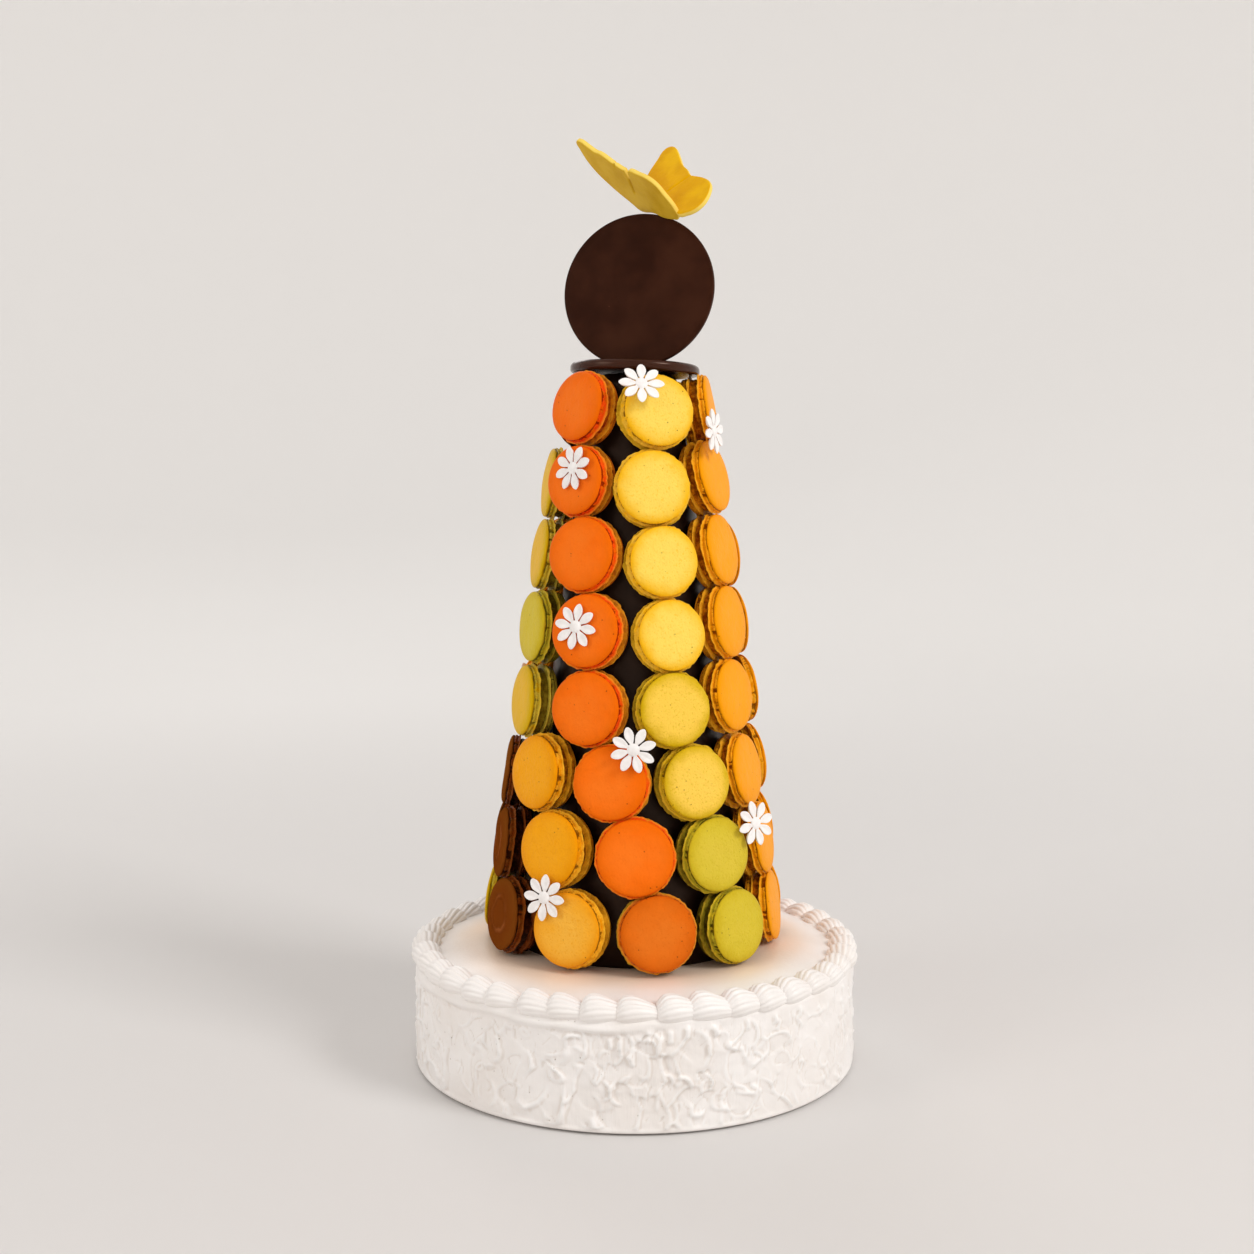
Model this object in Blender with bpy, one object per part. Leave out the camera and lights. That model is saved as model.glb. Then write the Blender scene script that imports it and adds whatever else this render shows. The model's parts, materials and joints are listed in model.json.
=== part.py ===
"""Macaron tower: a dark chocolate cone clad with eight rows of macarons, on a round frosted cake.

The frame has +Z up and its origin on the floor under the middle of the cake. Azimuths are in degrees,
measured round the tower from the front (-Y), positive towards the right (+X).
"""

import math

import bmesh
import bpy
from mathutils import Matrix, Vector

MM = 0.001
GAP = 0.3 * MM  # clearance between pieces that touch

# The cake
CAKE_RADIUS = 126.8 * MM
CAKE_EDGE_HEIGHT = 62.9 * MM
CAKE_CROWN_HEIGHT = 67.6 * MM  # the level patch in the middle, which carries the tower
CAKE_CROWN_RADIUS = 90 * MM
CAKE_SLOPE_HEIGHT = 65.4 * MM  # half way down the slope from the crown to the shells
CAKE_SLOPE_RADIUS = 102 * MM
CAKE_EDGE_BEVEL = 1.2 * MM
CAKE_SEGMENTS = 36

# The piped shells round the top edge of the cake
SHELL_COUNT = 42
SHELL_SWELLS = (0.70, 1.0, 0.93)  # how full a shell is along its length
SHELL_INNER_RADIUS = 112.5 * MM
SHELL_INNER_RISE = 2.6 * MM
SHELL_OUTER_RADIUS = 129.2 * MM
SHELL_OUTER_HEIGHT = 57.2 * MM  # where the shells end on the side of the cake
SHELL_BULGE_RISE = 4.5 * MM
SHELL_CREST_RADIUS = 122.0 * MM
SHELL_CREST_RISE = 7.2 * MM
SHELL_CREST_WIDTH = 9 * MM
SHELL_CREST_FALL = 1 * MM  # how much lower the inner side of the crest is
SHELL_SEAT_RADIUS = 121.5 * MM  # the shoulder of the cake that the shells sit on
SHELL_SEAT_DROP = 1 * MM

# One macaron
MACARON_RADIUS = 20.4 * MM
MACARON_THICKNESS = 17 * MM
DOME_STEP_IN = 3.8 * MM  # from the foot of a shell to the flat of its dome
WAIST_STEP_IN = 1.6 * MM  # from the feet to the filling between them
SHOWN_SIDES = 12
HIDDEN_SIDES = 10
STACK_RADIUS = 20.9 * MM
STACK_SQUEEZE = 1.5 * MM  # how much closer the macarons of one stack at the back are pressed

# The tower: rows are counted from the top
TOP_ROW_HEIGHT = 369.2 * MM
ROW_PITCH = 40.04 * MM
TOP_ROW_RADIUS = 47.4 * MM  # from the axis to the outer face of a macaron
ROW_STEP_OUT = 5.43 * MM
LEAN = math.atan2(ROW_STEP_OUT, ROW_PITCH)  # the faces lean back with the cone

# Chocolate cone
CONE_CLEARANCE = 2.9 * MM  # behind a macaron that sits out at its row's radius
CONE_SHOULDER_HEIGHT = 374 * MM
CONE_TOP_RADIUS = 20.5 * MM
CONE_SHOULDER_BULGE = 1.6 * MM
CONE_SEGMENTS = 20

# Chocolate discs
PLATE_RADIUS = 36.6 * MM
PLATE_UNDERSIDE = 390.6 * MM
PLATE_THICKNESS = 5.6 * MM
PLATE_ROLL = math.radians(1.7)  # the plate dips towards +X
PLATE_RIM = 1.6 * MM
SIGN_RADIUS = 43.8 * MM
SIGN_THICKNESS = 3.2 * MM
SIGN_RIM = 0.8 * MM
SIGN_CENTRE = Vector((2.2 * MM, 0, 437.7 * MM))
SIGN_TURN = math.radians(-16)
SIGN_LEAN = math.radians(8)
DISC_SEGMENTS = 24

# Fondant butterfly: where its tail rests, where its head points, and how its wings open
TAIL = Vector((23.5, -13, 475.9)) * MM
SPINE = Vector((-0.622, 0.740, 0.257))
LEFT_WING_OUT = Vector((-0.448, -0.605, 0.658))
RIGHT_WING_OUT = Vector((0.579, 0.213, 0.787))
WING_THICKNESS = 3 * MM
# Outline of each wing in mm: along the spine from the tail, and out from it
LEFT_WING = (
    (2, -2.8), (-1, 1), (-1, 3.5), (-0.5, 8.5), (2, 15), (4, 21), (9.5, 25.5), (17, 27.5), (23, 29),
    (28.5, 29), (34.5, 33), (42.5, 38.5), (46, 39), (51.5, 43), (55.5, 45.5), (59, 45), (59.5, 39),
    (57.5, 28), (49, 15), (38, 4), (33, -0.8), (20, -1), (15, -2.8),
)
RIGHT_WING = (
    (0, 1), (-3.5, 0), (-7, 1.5), (-11.5, 4.5), (-14, 9.5), (-14, 14.5), (-12.5, 19), (-10, 23),
    (-6.5, 25.5), (-0.5, 27), (9, 27.5), (13, 28.5), (16, 30.5), (23, 33.5), (28.5, 37.5),
    (34, 41.5), (38, 44), (42, 45), (45, 44), (47, 41), (46.5, 34.5), (45, 22.5), (39, 9), (32, 1),
)

# Fondant daisies, 25 mm across
DAISY_PETAL_REACH = 12.4 * MM  # to the two corners of a petal's end
DAISY_PETAL_SPREAD = 0.42  # of the half angle between two valleys
DAISY_HEART_RADIUS = 3.2 * MM
DAISY_VALLEY_RADIUS = 4.4 * MM
DAISY_THICKNESS = 1.3 * MM
DAISY_HEART_RISE = 1.0 * MM
PETALS = 8

# Colours as linear RGB, roughness
FINISHES = {
    "frosting": ((0.83, 0.76, 0.69), 0.55),
    "chocolate": ((0.035, 0.012, 0.006), 0.25),
    "yellow_fondant": ((0.72, 0.52, 0.06), 0.5),
    "white_fondant": ((0.9, 0.88, 0.87), 0.5),
    "orange": ((0.85, 0.15, 0.015), 0.6),
    "terracotta": ((0.70, 0.12, 0.02), 0.6),
    "apricot": ((0.90, 0.32, 0.03), 0.6),
    "amber": ((0.85, 0.37, 0.03), 0.6),
    "yellow": ((0.88, 0.62, 0.07), 0.6),
    "lime_yellow": ((0.72, 0.56, 0.05), 0.6),
    "green": ((0.52, 0.50, 0.04), 0.6),
    "olive": ((0.42, 0.33, 0.03), 0.6),
    "brown": ((0.14, 0.03, 0.008), 0.4),
}

# The macarons that show from the front, row by row from the top. Each has its column, flavour,
# azimuth, lift in mm from its row's height, and how far in mm it is pressed in from its row's radius.
SHOWN = (
    (("a", "orange", -44, 0.5, 0), ("b", "yellow", 16, -2.2, 0), ("c", "apricot", 86.5, 0, 2.4)),
    (("e", "olive", -94, -0.5, 1.8), ("a", "orange", -41, 0.5, 0), ("b", "yellow", 12, -3.8, 0),
     ("c", "apricot", 64.5, 2.5, 1.6)),
    (("e", "olive", -81, -0.5, 1.8), ("a", "orange", -32, 0.5, 0), ("b", "yellow", 16, -3.4, 0),
     ("c", "apricot", 63.5, 2, 1.6)),
    (("e", "green", -69.5, 0, 0.5), ("a", "orange", -26, -0.6, 0), ("b", "yellow", 18.5, -2.8, 0),
     ("c", "apricot", 62, 2, 1.6)),
    (("e", "olive", -71, -2, 1), ("a", "orange", -23.5, -1.9, 0), ("b", "lime_yellow", 18.5, -2.3, 0),
     ("c", "apricot", 58.5, 2, 2)),
    (("f", "brown", -86.5, -4.5, 0), ("d", "amber", -49.5, 1.5, 0.5), ("a", "orange", -11, -1, 0),
     ("b", "lime_yellow", 27, -1.4, 0), ("c", "apricot", 63, 0, 2)),
    (("f", "brown", -75, -3, 0), ("d", "amber", -36, 2, 0), ("a", "orange", 0, 0.4, 0),
     ("b", "green", 35, -0.5, 0), ("c", "apricot", 74, -0.6, 1.8)),
    (("g", "olive", -98.5, -1, 0), ("f", "brown", -61.5, 0, 0), ("d", "amber", -26, 1, 0),
     ("a", "terracotta", 8.5, 0.5, 0), ("b", "green", 42, 0.3, 0), ("c", "apricot", 77.5, 0, 2.4)),
)

# The macarons at the back stand in short stacks that lean on each other.
# Each stack has its name, flavour, top row, and the azimuth of each macaron downwards.
STACKS = (
    ("h1", "yellow", 1, (149, 139)),
    ("h2", "amber", 3, (111, 107, 106)),
    ("h3", "amber", 6, (106, 108, 110)),
    ("i1", "orange", 3, (158.5, 152, 150.5)),
    ("i2", "orange", 6, (143, 143.5, 145)),
    ("j1", "amber", 2, (197,)),
    ("j2", "lime_yellow", 4, (195.5, 195.5)),
    ("j3", "green", 6, (180, 179, 181)),
    ("k1", "brown", 1, (222,)),
    ("k2", "apricot", 3, (231.5, 238.5, 239)),
    ("k3", "brown", 6, (217, 215, 217)),
    ("l1", "brown", 7, (250,)),
)

# Each daisy: number, azimuth, distance from the axis in mm, height in mm, face azimuth, face lean, spin
DAISIES = (
    (1, 4.0, 48.6, 381.2, 8, 32, -3),
    (2, 52.8, 53.2, 357.0, 64, 4, 10),
    (3, -38.6, 53.0, 336.7, -41, 8, 20),
    (4, -29.2, 64.6, 251.6, -26, 8, 36),
    (5, -0.6, 75.0, 187.7, -8, 8, 17),
    (6, 51.2, 83.6, 143.9, 38, 8, 12),
    (7, -33.9, 86.2, 107.6, -28, 8, 43),
)


def clear_scene():
    """Remove the objects that the opened file starts with."""
    for thing in list(bpy.data.objects):
        bpy.data.objects.remove(thing, do_unlink=True)


def finish_material(name):
    """The Principled material of one finish, made once."""
    found = bpy.data.materials.get(name)
    if found:
        return found
    colour, roughness = FINISHES[name]
    made = bpy.data.materials.new(name)
    made.use_nodes = True
    shader = made.node_tree.nodes["Principled BSDF"]
    shader.inputs["Base Color"].default_value = (*colour, 1)
    shader.inputs["Roughness"].default_value = roughness
    return made


def add_piece(name, shape, finish, sharp_angle=40):
    """Turn a bmesh into a named object with one finish."""
    bmesh.ops.recalc_face_normals(shape, faces=shape.faces)
    mesh = bpy.data.meshes.new(name)
    shape.to_mesh(mesh)
    shape.free()
    mesh.materials.append(finish_material(finish))
    mesh.shade_smooth()
    mesh.set_sharp_from_angle(angle=math.radians(sharp_angle))
    piece = bpy.data.objects.new(name, mesh)
    bpy.context.collection.objects.link(piece)
    return piece


def join_rings(shape, rings, closed=False):
    """Bridge each ring of points to the next with quads."""
    pairs = list(zip(rings, rings[1:]))
    if closed:
        pairs.append((rings[-1], rings[0]))
    for low, high in pairs:
        count = len(low)
        for i in range(count):
            j = (i + 1) % count
            shape.faces.new((low[i], low[j], high[j], high[i]))


def turned(profile, segments, start_angle=0.0):
    """A closed solid turned about Z from (radius, height) points, with a flat face at each end."""
    shape = bmesh.new()
    rings = []
    for radius, height in profile:
        ring = []
        for i in range(segments):
            angle = start_angle + math.tau * i / segments
            ring.append(shape.verts.new((radius * math.cos(angle), radius * math.sin(angle), height)))
        rings.append(ring)
    join_rings(shape, rings)
    shape.faces.new(rings[0])
    shape.faces.new(rings[-1])
    return shape


def row_height(row):
    return TOP_ROW_HEIGHT - ROW_PITCH * (row - 1)


def row_radius(row):
    return TOP_ROW_RADIUS + ROW_STEP_OUT * (row - 1)


def cone_radius(height):
    """Radius of the cone at a height: it lies just behind the backs of the deepest macarons."""
    outer_face = TOP_ROW_RADIUS + (TOP_ROW_HEIGHT - height) * ROW_STEP_OUT / ROW_PITCH
    return outer_face - MACARON_THICKNESS / math.cos(LEAN) - CONE_CLEARANCE


def facing(azimuth, lean):
    """Rotation that turns +Z to face outwards at an azimuth, leaning back by lean, with +Y upwards."""
    return Matrix.Rotation(azimuth, 4, "Z") @ Matrix.Rotation(math.pi / 2 - lean, 4, "X")


def from_axis(azimuth, distance, height):
    return Vector((distance * math.sin(azimuth), -distance * math.cos(azimuth), height))


def make_cake():
    """The round cake: an eased bottom edge, a plain side, a shoulder under the shells and a crowned top."""
    profile = [
        (CAKE_RADIUS - CAKE_EDGE_BEVEL, 0),
        (CAKE_RADIUS, CAKE_EDGE_BEVEL),
        (CAKE_RADIUS, SHELL_OUTER_HEIGHT - GAP),
        (SHELL_SEAT_RADIUS, CAKE_EDGE_HEIGHT),
        (CAKE_SLOPE_RADIUS, CAKE_SLOPE_HEIGHT),
        (CAKE_CROWN_RADIUS, CAKE_CROWN_HEIGHT),
    ]
    add_piece("cake", turned(profile, CAKE_SEGMENTS), "frosting", 30)


def shell_section(swell):
    """Section of the piped border as (radius, height) points, where swell is 1 at a shell's fullest."""
    def swollen(radius, height):
        """Draw a point towards the seat of the border where the shell is thin."""
        seat_height = CAKE_EDGE_HEIGHT - SHELL_SEAT_DROP
        return (
            SHELL_SEAT_RADIUS + (radius - SHELL_SEAT_RADIUS) * swell,
            seat_height + (height - seat_height) * swell,
        )

    crest = CAKE_EDGE_HEIGHT + SHELL_CREST_RISE
    return [
        (SHELL_SEAT_RADIUS, CAKE_EDGE_HEIGHT + 2 * GAP),
        (CAKE_RADIUS + 2 * GAP, SHELL_OUTER_HEIGHT),
        swollen(SHELL_OUTER_RADIUS, SHELL_OUTER_HEIGHT + SHELL_BULGE_RISE),
        swollen(SHELL_CREST_RADIUS + SHELL_CREST_WIDTH / 3, crest),
        swollen(SHELL_CREST_RADIUS - SHELL_CREST_WIDTH * 2 / 3, crest - SHELL_CREST_FALL),
        swollen(SHELL_INNER_RADIUS, CAKE_EDGE_HEIGHT + SHELL_INNER_RISE),
    ]


def make_shell_border():
    """The ring of piped shells: each swells where the nozzle paused and tapers into the next."""
    shape = bmesh.new()
    rings = []
    stations = SHELL_COUNT * len(SHELL_SWELLS)
    for station in range(stations):
        angle = math.tau * station / stations
        section = shell_section(SHELL_SWELLS[station % len(SHELL_SWELLS)])
        ring = [shape.verts.new((r * math.sin(angle), -r * math.cos(angle), z)) for r, z in section]
        rings.append(ring)
    join_rings(shape, rings, closed=True)
    add_piece("shell_border", shape, "frosting", 60)


def make_cone():
    """The chocolate cone under the macarons, with a rounded shoulder below its flat top."""
    foot = CAKE_CROWN_HEIGHT + GAP
    top = PLATE_UNDERSIDE - GAP
    shoulder_radius = cone_radius(CONE_SHOULDER_HEIGHT)
    profile = [
        (cone_radius(foot), foot),
        (shoulder_radius, CONE_SHOULDER_HEIGHT),
        ((shoulder_radius + CONE_TOP_RADIUS) / 2 + CONE_SHOULDER_BULGE, (CONE_SHOULDER_HEIGHT + top) / 2),
        (CONE_TOP_RADIUS, top),
    ]
    shape = turned(profile, CONE_SEGMENTS)
    for vert in shape.verts:
        if vert.co.z > top - GAP:
            vert.co.z -= vert.co.x * math.tan(PLATE_ROLL)
    add_piece("chocolate_cone", shape, "chocolate", 35)


def disc(radius, thickness, edge):
    """A flat disc with rounded rims, lying on z = 0."""
    profile = [(radius - edge, 0), (radius, edge), (radius, thickness - edge), (radius - edge, thickness)]
    return turned(profile, DISC_SEGMENTS)


def plate_matrix():
    return Matrix.Translation((0, 0, PLATE_UNDERSIDE)) @ Matrix.Rotation(PLATE_ROLL, 4, "Y")


def make_plate():
    """The level chocolate disc on the top of the cone."""
    shape = disc(PLATE_RADIUS, PLATE_THICKNESS, PLATE_RIM)
    shape.transform(plate_matrix())
    add_piece("chocolate_plate", shape, "chocolate", 30)


def make_sign():
    """The upright chocolate disc, cut along its foot where it stands on the plate."""
    shape = disc(SIGN_RADIUS, SIGN_THICKNESS, SIGN_RIM)
    shape.transform(Matrix.Translation((0, 0, -SIGN_THICKNESS / 2)))
    shape.transform(Matrix.Translation(SIGN_CENTRE) @ facing(SIGN_TURN, SIGN_LEAN))
    seat = plate_matrix() @ Vector((0, 0, PLATE_THICKNESS + GAP))
    upwards = plate_matrix().to_3x3() @ Vector((0, 0, 1))
    cut = bmesh.ops.bisect_plane(
        shape, geom=shape.verts[:] + shape.edges[:] + shape.faces[:],
        plane_co=seat, plane_no=upwards, clear_inner=True,
    )
    rim = [thing for thing in cut["geom_cut"] if isinstance(thing, bmesh.types.BMEdge)]
    bmesh.ops.contextual_create(shape, geom=rim)
    add_piece("chocolate_sign", shape, "chocolate", 30)


def wing(out, outline):
    """One wing as a thin plate: its underside passes through the tail, and it opens towards out."""
    shape = bmesh.new()
    normal = SPINE.cross(out).normalized()
    if normal.z < 0:
        normal.negate()
    layers = []
    for height in (0, WING_THICKNESS):
        start = TAIL + normal * height
        points = [start + (SPINE * along + out * away) * MM for along, away in outline]
        layers.append([shape.verts.new(point) for point in points])
    join_rings(shape, layers)
    for layer in layers:
        shape.faces.new(layer)
    return shape


def make_butterfly():
    """The butterfly: two wings that open from the spine in a V, joined there by a union."""
    left = add_piece("butterfly", wing(LEFT_WING_OUT, LEFT_WING), "yellow_fondant")
    right = add_piece("right_wing_cutter", wing(RIGHT_WING_OUT, RIGHT_WING), "yellow_fondant")
    join_pieces(left, [right])


def join_pieces(target, others):
    """Join solids that overlap into one closed body with Boolean unions."""
    for other in others:
        other.hide_render = True
        other.display_type = "WIRE"
        union = target.modifiers.new("join " + other.name, "BOOLEAN")
        union.operation = "UNION"
        union.object = other


def macaron(radius, sides, start_angle, waist_step_in):
    """A macaron lying on its back: two domed shells with feet, and the filling between the feet."""
    half = MACARON_THICKNESS / 2
    foot = MACARON_THICKNESS / 6
    front = [(radius, foot), (radius - DOME_STEP_IN, half)]
    back = [(reach, -height) for reach, height in reversed(front)]
    middle = [(radius - waist_step_in, 0)] if waist_step_in else []
    return turned(back + middle + front, sides, start_angle)


def macaron_matrix(row, azimuth, lift, pressed_in=0.0):
    """Where a macaron of a row sits: its face at the row's radius, leaning back with the cone."""
    angle = math.radians(azimuth)
    middle = row_radius(row) - MACARON_THICKNESS / 2 * math.cos(LEAN) - pressed_in
    return Matrix.Translation(from_axis(angle, middle, row_height(row) + lift)) @ facing(angle, LEAN)


def make_shown_macarons():
    """One piece for each macaron that shows, its flat sides towards its neighbours."""
    half_side = math.pi / SHOWN_SIDES
    for row, places in enumerate(SHOWN, start=1):
        for column, flavour, azimuth, lift, pressed_in in places:
            shape = macaron(MACARON_RADIUS, SHOWN_SIDES, half_side, WAIST_STEP_IN)
            shape.transform(macaron_matrix(row, azimuth, lift * MM, pressed_in * MM))
            add_piece(f"macaron_{row}_{column}", shape, flavour)


def make_stacks():
    """The macarons at the back: each stack is one body, its macarons pressed together at their feet."""
    for name, flavour, top_row, azimuths in STACKS:
        members = []
        for step, azimuth in enumerate(azimuths):
            lift = STACK_SQUEEZE * (step - (len(azimuths) - 1) / 2)
            shape = macaron(STACK_RADIUS, HIDDEN_SIDES, math.pi / 2, 0)
            shape.transform(macaron_matrix(top_row + step, azimuth, lift))
            member_name = f"{name}_cutter_{step}" if step else f"stack_{name}"
            members.append(add_piece(member_name, shape, flavour))
        join_pieces(members[0], members[1:])


def ring_of(shape, points, height):
    """Vertices at (radius, angle) points round Z, all at one height."""
    return [shape.verts.new((r * math.cos(a), r * math.sin(a), height)) for r, a in points]


def daisy():
    """A daisy lying on z = 0: eight petals in one flat star with a raised heart."""
    shape = bmesh.new()
    half = math.pi / PETALS
    valleys = [math.tau * petal / PETALS - half for petal in range(PETALS)]
    outline = []
    for valley in valleys:
        outline.append((DAISY_VALLEY_RADIUS, valley))
        outline.append((DAISY_PETAL_REACH, valley + half * (1 - DAISY_PETAL_SPREAD)))
        outline.append((DAISY_PETAL_REACH, valley + half * (1 + DAISY_PETAL_SPREAD)))
    under = ring_of(shape, outline, 0)
    over = ring_of(shape, outline, DAISY_THICKNESS)
    heart = ring_of(shape, [(DAISY_HEART_RADIUS, a) for a in valleys], DAISY_THICKNESS + DAISY_HEART_RISE)
    join_rings(shape, [under, over])
    join_rings(shape, [over[::3], heart])
    for petal in range(PETALS):
        first = 3 * petal
        shape.faces.new([over[(first + step) % len(over)] for step in range(4)])
    shape.faces.new(under)
    shape.faces.new(heart)
    return shape


def make_daisies():
    """The seven daisies, each resting on the macarons behind it."""
    for number, azimuth, distance, height, face, lean, spin in DAISIES:
        shape = daisy()
        place = Matrix.Translation(from_axis(math.radians(azimuth), distance * MM, height * MM))
        turn = facing(math.radians(face), math.radians(lean)) @ Matrix.Rotation(math.radians(spin), 4, "Z")
        shape.transform(place @ turn)
        add_piece(f"daisy_{number}", shape, "white_fondant")


clear_scene()
make_cake()
make_shell_border()
make_cone()
make_shown_macarons()
make_stacks()
make_plate()
make_sign()
make_butterfly()
make_daisies()
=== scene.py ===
# %% [markdown]
# # A macaron tower
#
# A dark chocolate cone is clad with eight rows of macarons and stands on a frosted cake. Two chocolate
# discs and a fondant butterfly crown it, and daisies are stuck on here and there. The frame that is
# loaded first has every piece as a plain solid, at its real place and size in metres. This lesson gives
# each of them its true surface: domed shells with ruffled feet, piped and spread frosting, tempered
# chocolate and fondant.

import json
import math
import random

import bpy
import numpy as np
from mathutils import Matrix, Vector, noise


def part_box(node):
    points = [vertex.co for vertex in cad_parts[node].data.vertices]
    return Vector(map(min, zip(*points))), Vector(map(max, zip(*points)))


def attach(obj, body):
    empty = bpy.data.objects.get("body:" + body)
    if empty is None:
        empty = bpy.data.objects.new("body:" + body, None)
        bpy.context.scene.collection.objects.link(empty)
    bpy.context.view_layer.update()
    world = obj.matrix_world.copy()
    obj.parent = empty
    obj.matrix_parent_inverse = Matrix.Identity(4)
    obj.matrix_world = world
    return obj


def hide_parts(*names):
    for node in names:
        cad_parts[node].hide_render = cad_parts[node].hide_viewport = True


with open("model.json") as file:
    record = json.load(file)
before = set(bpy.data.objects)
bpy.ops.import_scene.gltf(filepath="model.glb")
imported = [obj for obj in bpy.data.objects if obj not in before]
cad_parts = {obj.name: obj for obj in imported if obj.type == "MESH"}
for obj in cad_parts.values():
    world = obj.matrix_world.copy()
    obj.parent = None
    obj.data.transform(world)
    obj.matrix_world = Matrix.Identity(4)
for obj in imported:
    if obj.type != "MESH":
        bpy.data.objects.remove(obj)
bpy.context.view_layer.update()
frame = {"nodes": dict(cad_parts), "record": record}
MM = 0.001
SEED = 7
dice = random.Random(SEED)

# %% [markdown]
# ## Camera
#
# The view is level with the middle of the tower and looks a little down, so that the top of the cake
# shows as a flat ellipse. A camera could be turned towards a target, but a lens, a place and one angle
# say the same with fewer parts.

# %% Camera
CAMERA_PLACE = Vector((-4.4, -871.8, 314.8)) * MM
CAMERA_PITCH = math.radians(4.44)
LENS = 43.7  # mm
CLIP_END = 30  # metres, past the far wall of the room

bpy.ops.object.camera_add(location=CAMERA_PLACE, rotation=(math.pi / 2 - CAMERA_PITCH, 0, 0))
camera = bpy.context.object
camera.data.lens = LENS
camera.data.clip_end = CLIP_END
bpy.context.scene.camera = camera
print("camera at", [round(c, 3) for c in camera.location])

# %% [markdown]
# ## Helpers for turned forms
#
# Cake, cone, plate and macarons are all turned forms. They could be spun from a profile, but a disc that
# is extruded upwards ring by ring, and scaled at each ring, gives the same closed form with its caps.


# %% Turned forms
def deselect():
    bpy.ops.object.select_all(action="DESELECT")


def turn(name, profile, steps):
    """A closed turned form from (radius, height) points: a disc is extruded from ring to ring."""
    deselect()
    radius, height = profile[0]
    bpy.ops.mesh.primitive_circle_add(
        vertices=steps, radius=radius, fill_type="NGON", location=(0, 0, height)
    )
    piece = bpy.context.object
    piece.name = name
    bpy.ops.object.transform_apply(location=True, rotation=False, scale=False)
    bpy.ops.object.mode_set(mode="EDIT")
    bpy.ops.mesh.select_all(action="SELECT")
    for next_radius, next_height in profile[1:]:
        rise = (0, 0, next_height - height)
        bpy.ops.mesh.extrude_region_move(TRANSFORM_OT_translate={"value": rise})
        grow = next_radius / radius
        bpy.ops.transform.resize(value=(grow, grow, 1), center_override=(0, 0, next_height))
        radius, height = next_radius, next_height
    bpy.ops.mesh.select_all(action="SELECT")
    bpy.ops.mesh.normals_make_consistent(inside=False)
    bpy.ops.object.mode_set(mode="OBJECT")
    bpy.ops.object.shade_smooth()
    return piece


def arc(radius, height, size, start, end, steps):
    """(radius, height) points of an arc about a point of the profile, between two angles in degrees."""
    angles = [math.radians(start + (end - start) * step / steps) for step in range(steps + 1)]
    return [(radius + size * math.cos(angle), height + size * math.sin(angle)) for angle in angles]


print("half way round a quarter arc:", arc(0, 0, 1, 0, 90, 2)[1])

# %% [markdown]
# ## Helpers for meshes
#
# A piece is shaped by moving its points. Blender can give them one by one, but all of them at once, as one
# array, is far quicker. A finished piece is then handed to the frame, with the nodes that it stands for.


# %% Points and hand-over
def points_of(piece):
    """The vertices of a mesh as rows of x, y, z."""
    flat = np.empty(len(piece.data.vertices) * 3, np.float32)
    piece.data.vertices.foreach_get("co", flat)
    return flat.reshape(-1, 3).astype(float)


def move_points(piece, points):
    piece.data.vertices.foreach_set("co", points.astype(np.float32).ravel())
    piece.data.update()


def paint(piece, attribute, values):
    """A number at each vertex, which a material reads by the attribute's name."""
    layer = piece.data.attributes.new(attribute, "FLOAT", "POINT")
    layer.data.foreach_set("value", np.asarray(values, np.float32))


def finished(piece, slot, material, *nodes):
    """Hand a piece to the frame: what it stands for and its material; the slot of its finish is not used.
    """
    if material:
        piece.data.materials.clear()
        piece.data.materials.append(material)
    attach(piece, "root")
    if nodes:
        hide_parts(*nodes)
    print(piece.name, len(piece.data.polygons), "faces")
    return piece


# %% [markdown]
# ## Helpers for finishes
#
# Each material is a small network of nodes. Making the nodes one by one hides what they do, so a Value
# wraps an output, and Python's own signs add and multiply it.


# %% Shader maths
class Value:
    """An output of a shader node that can be added, subtracted, multiplied and raised to a power."""

    def __init__(self, finish, socket):
        self.finish = finish
        self.socket = socket

    def __add__(self, other):
        return self.finish.maths("ADD", self, other)

    def __sub__(self, other):
        return self.finish.maths("SUBTRACT", self, other)

    def __rsub__(self, other):
        return self.finish.maths("SUBTRACT", other, self)

    def __mul__(self, other):
        return self.finish.maths("MULTIPLY", self, other)

    def __pow__(self, other):
        return self.finish.maths("POWER", self, other)

    __radd__ = __add__
    __rmul__ = __mul__


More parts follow.
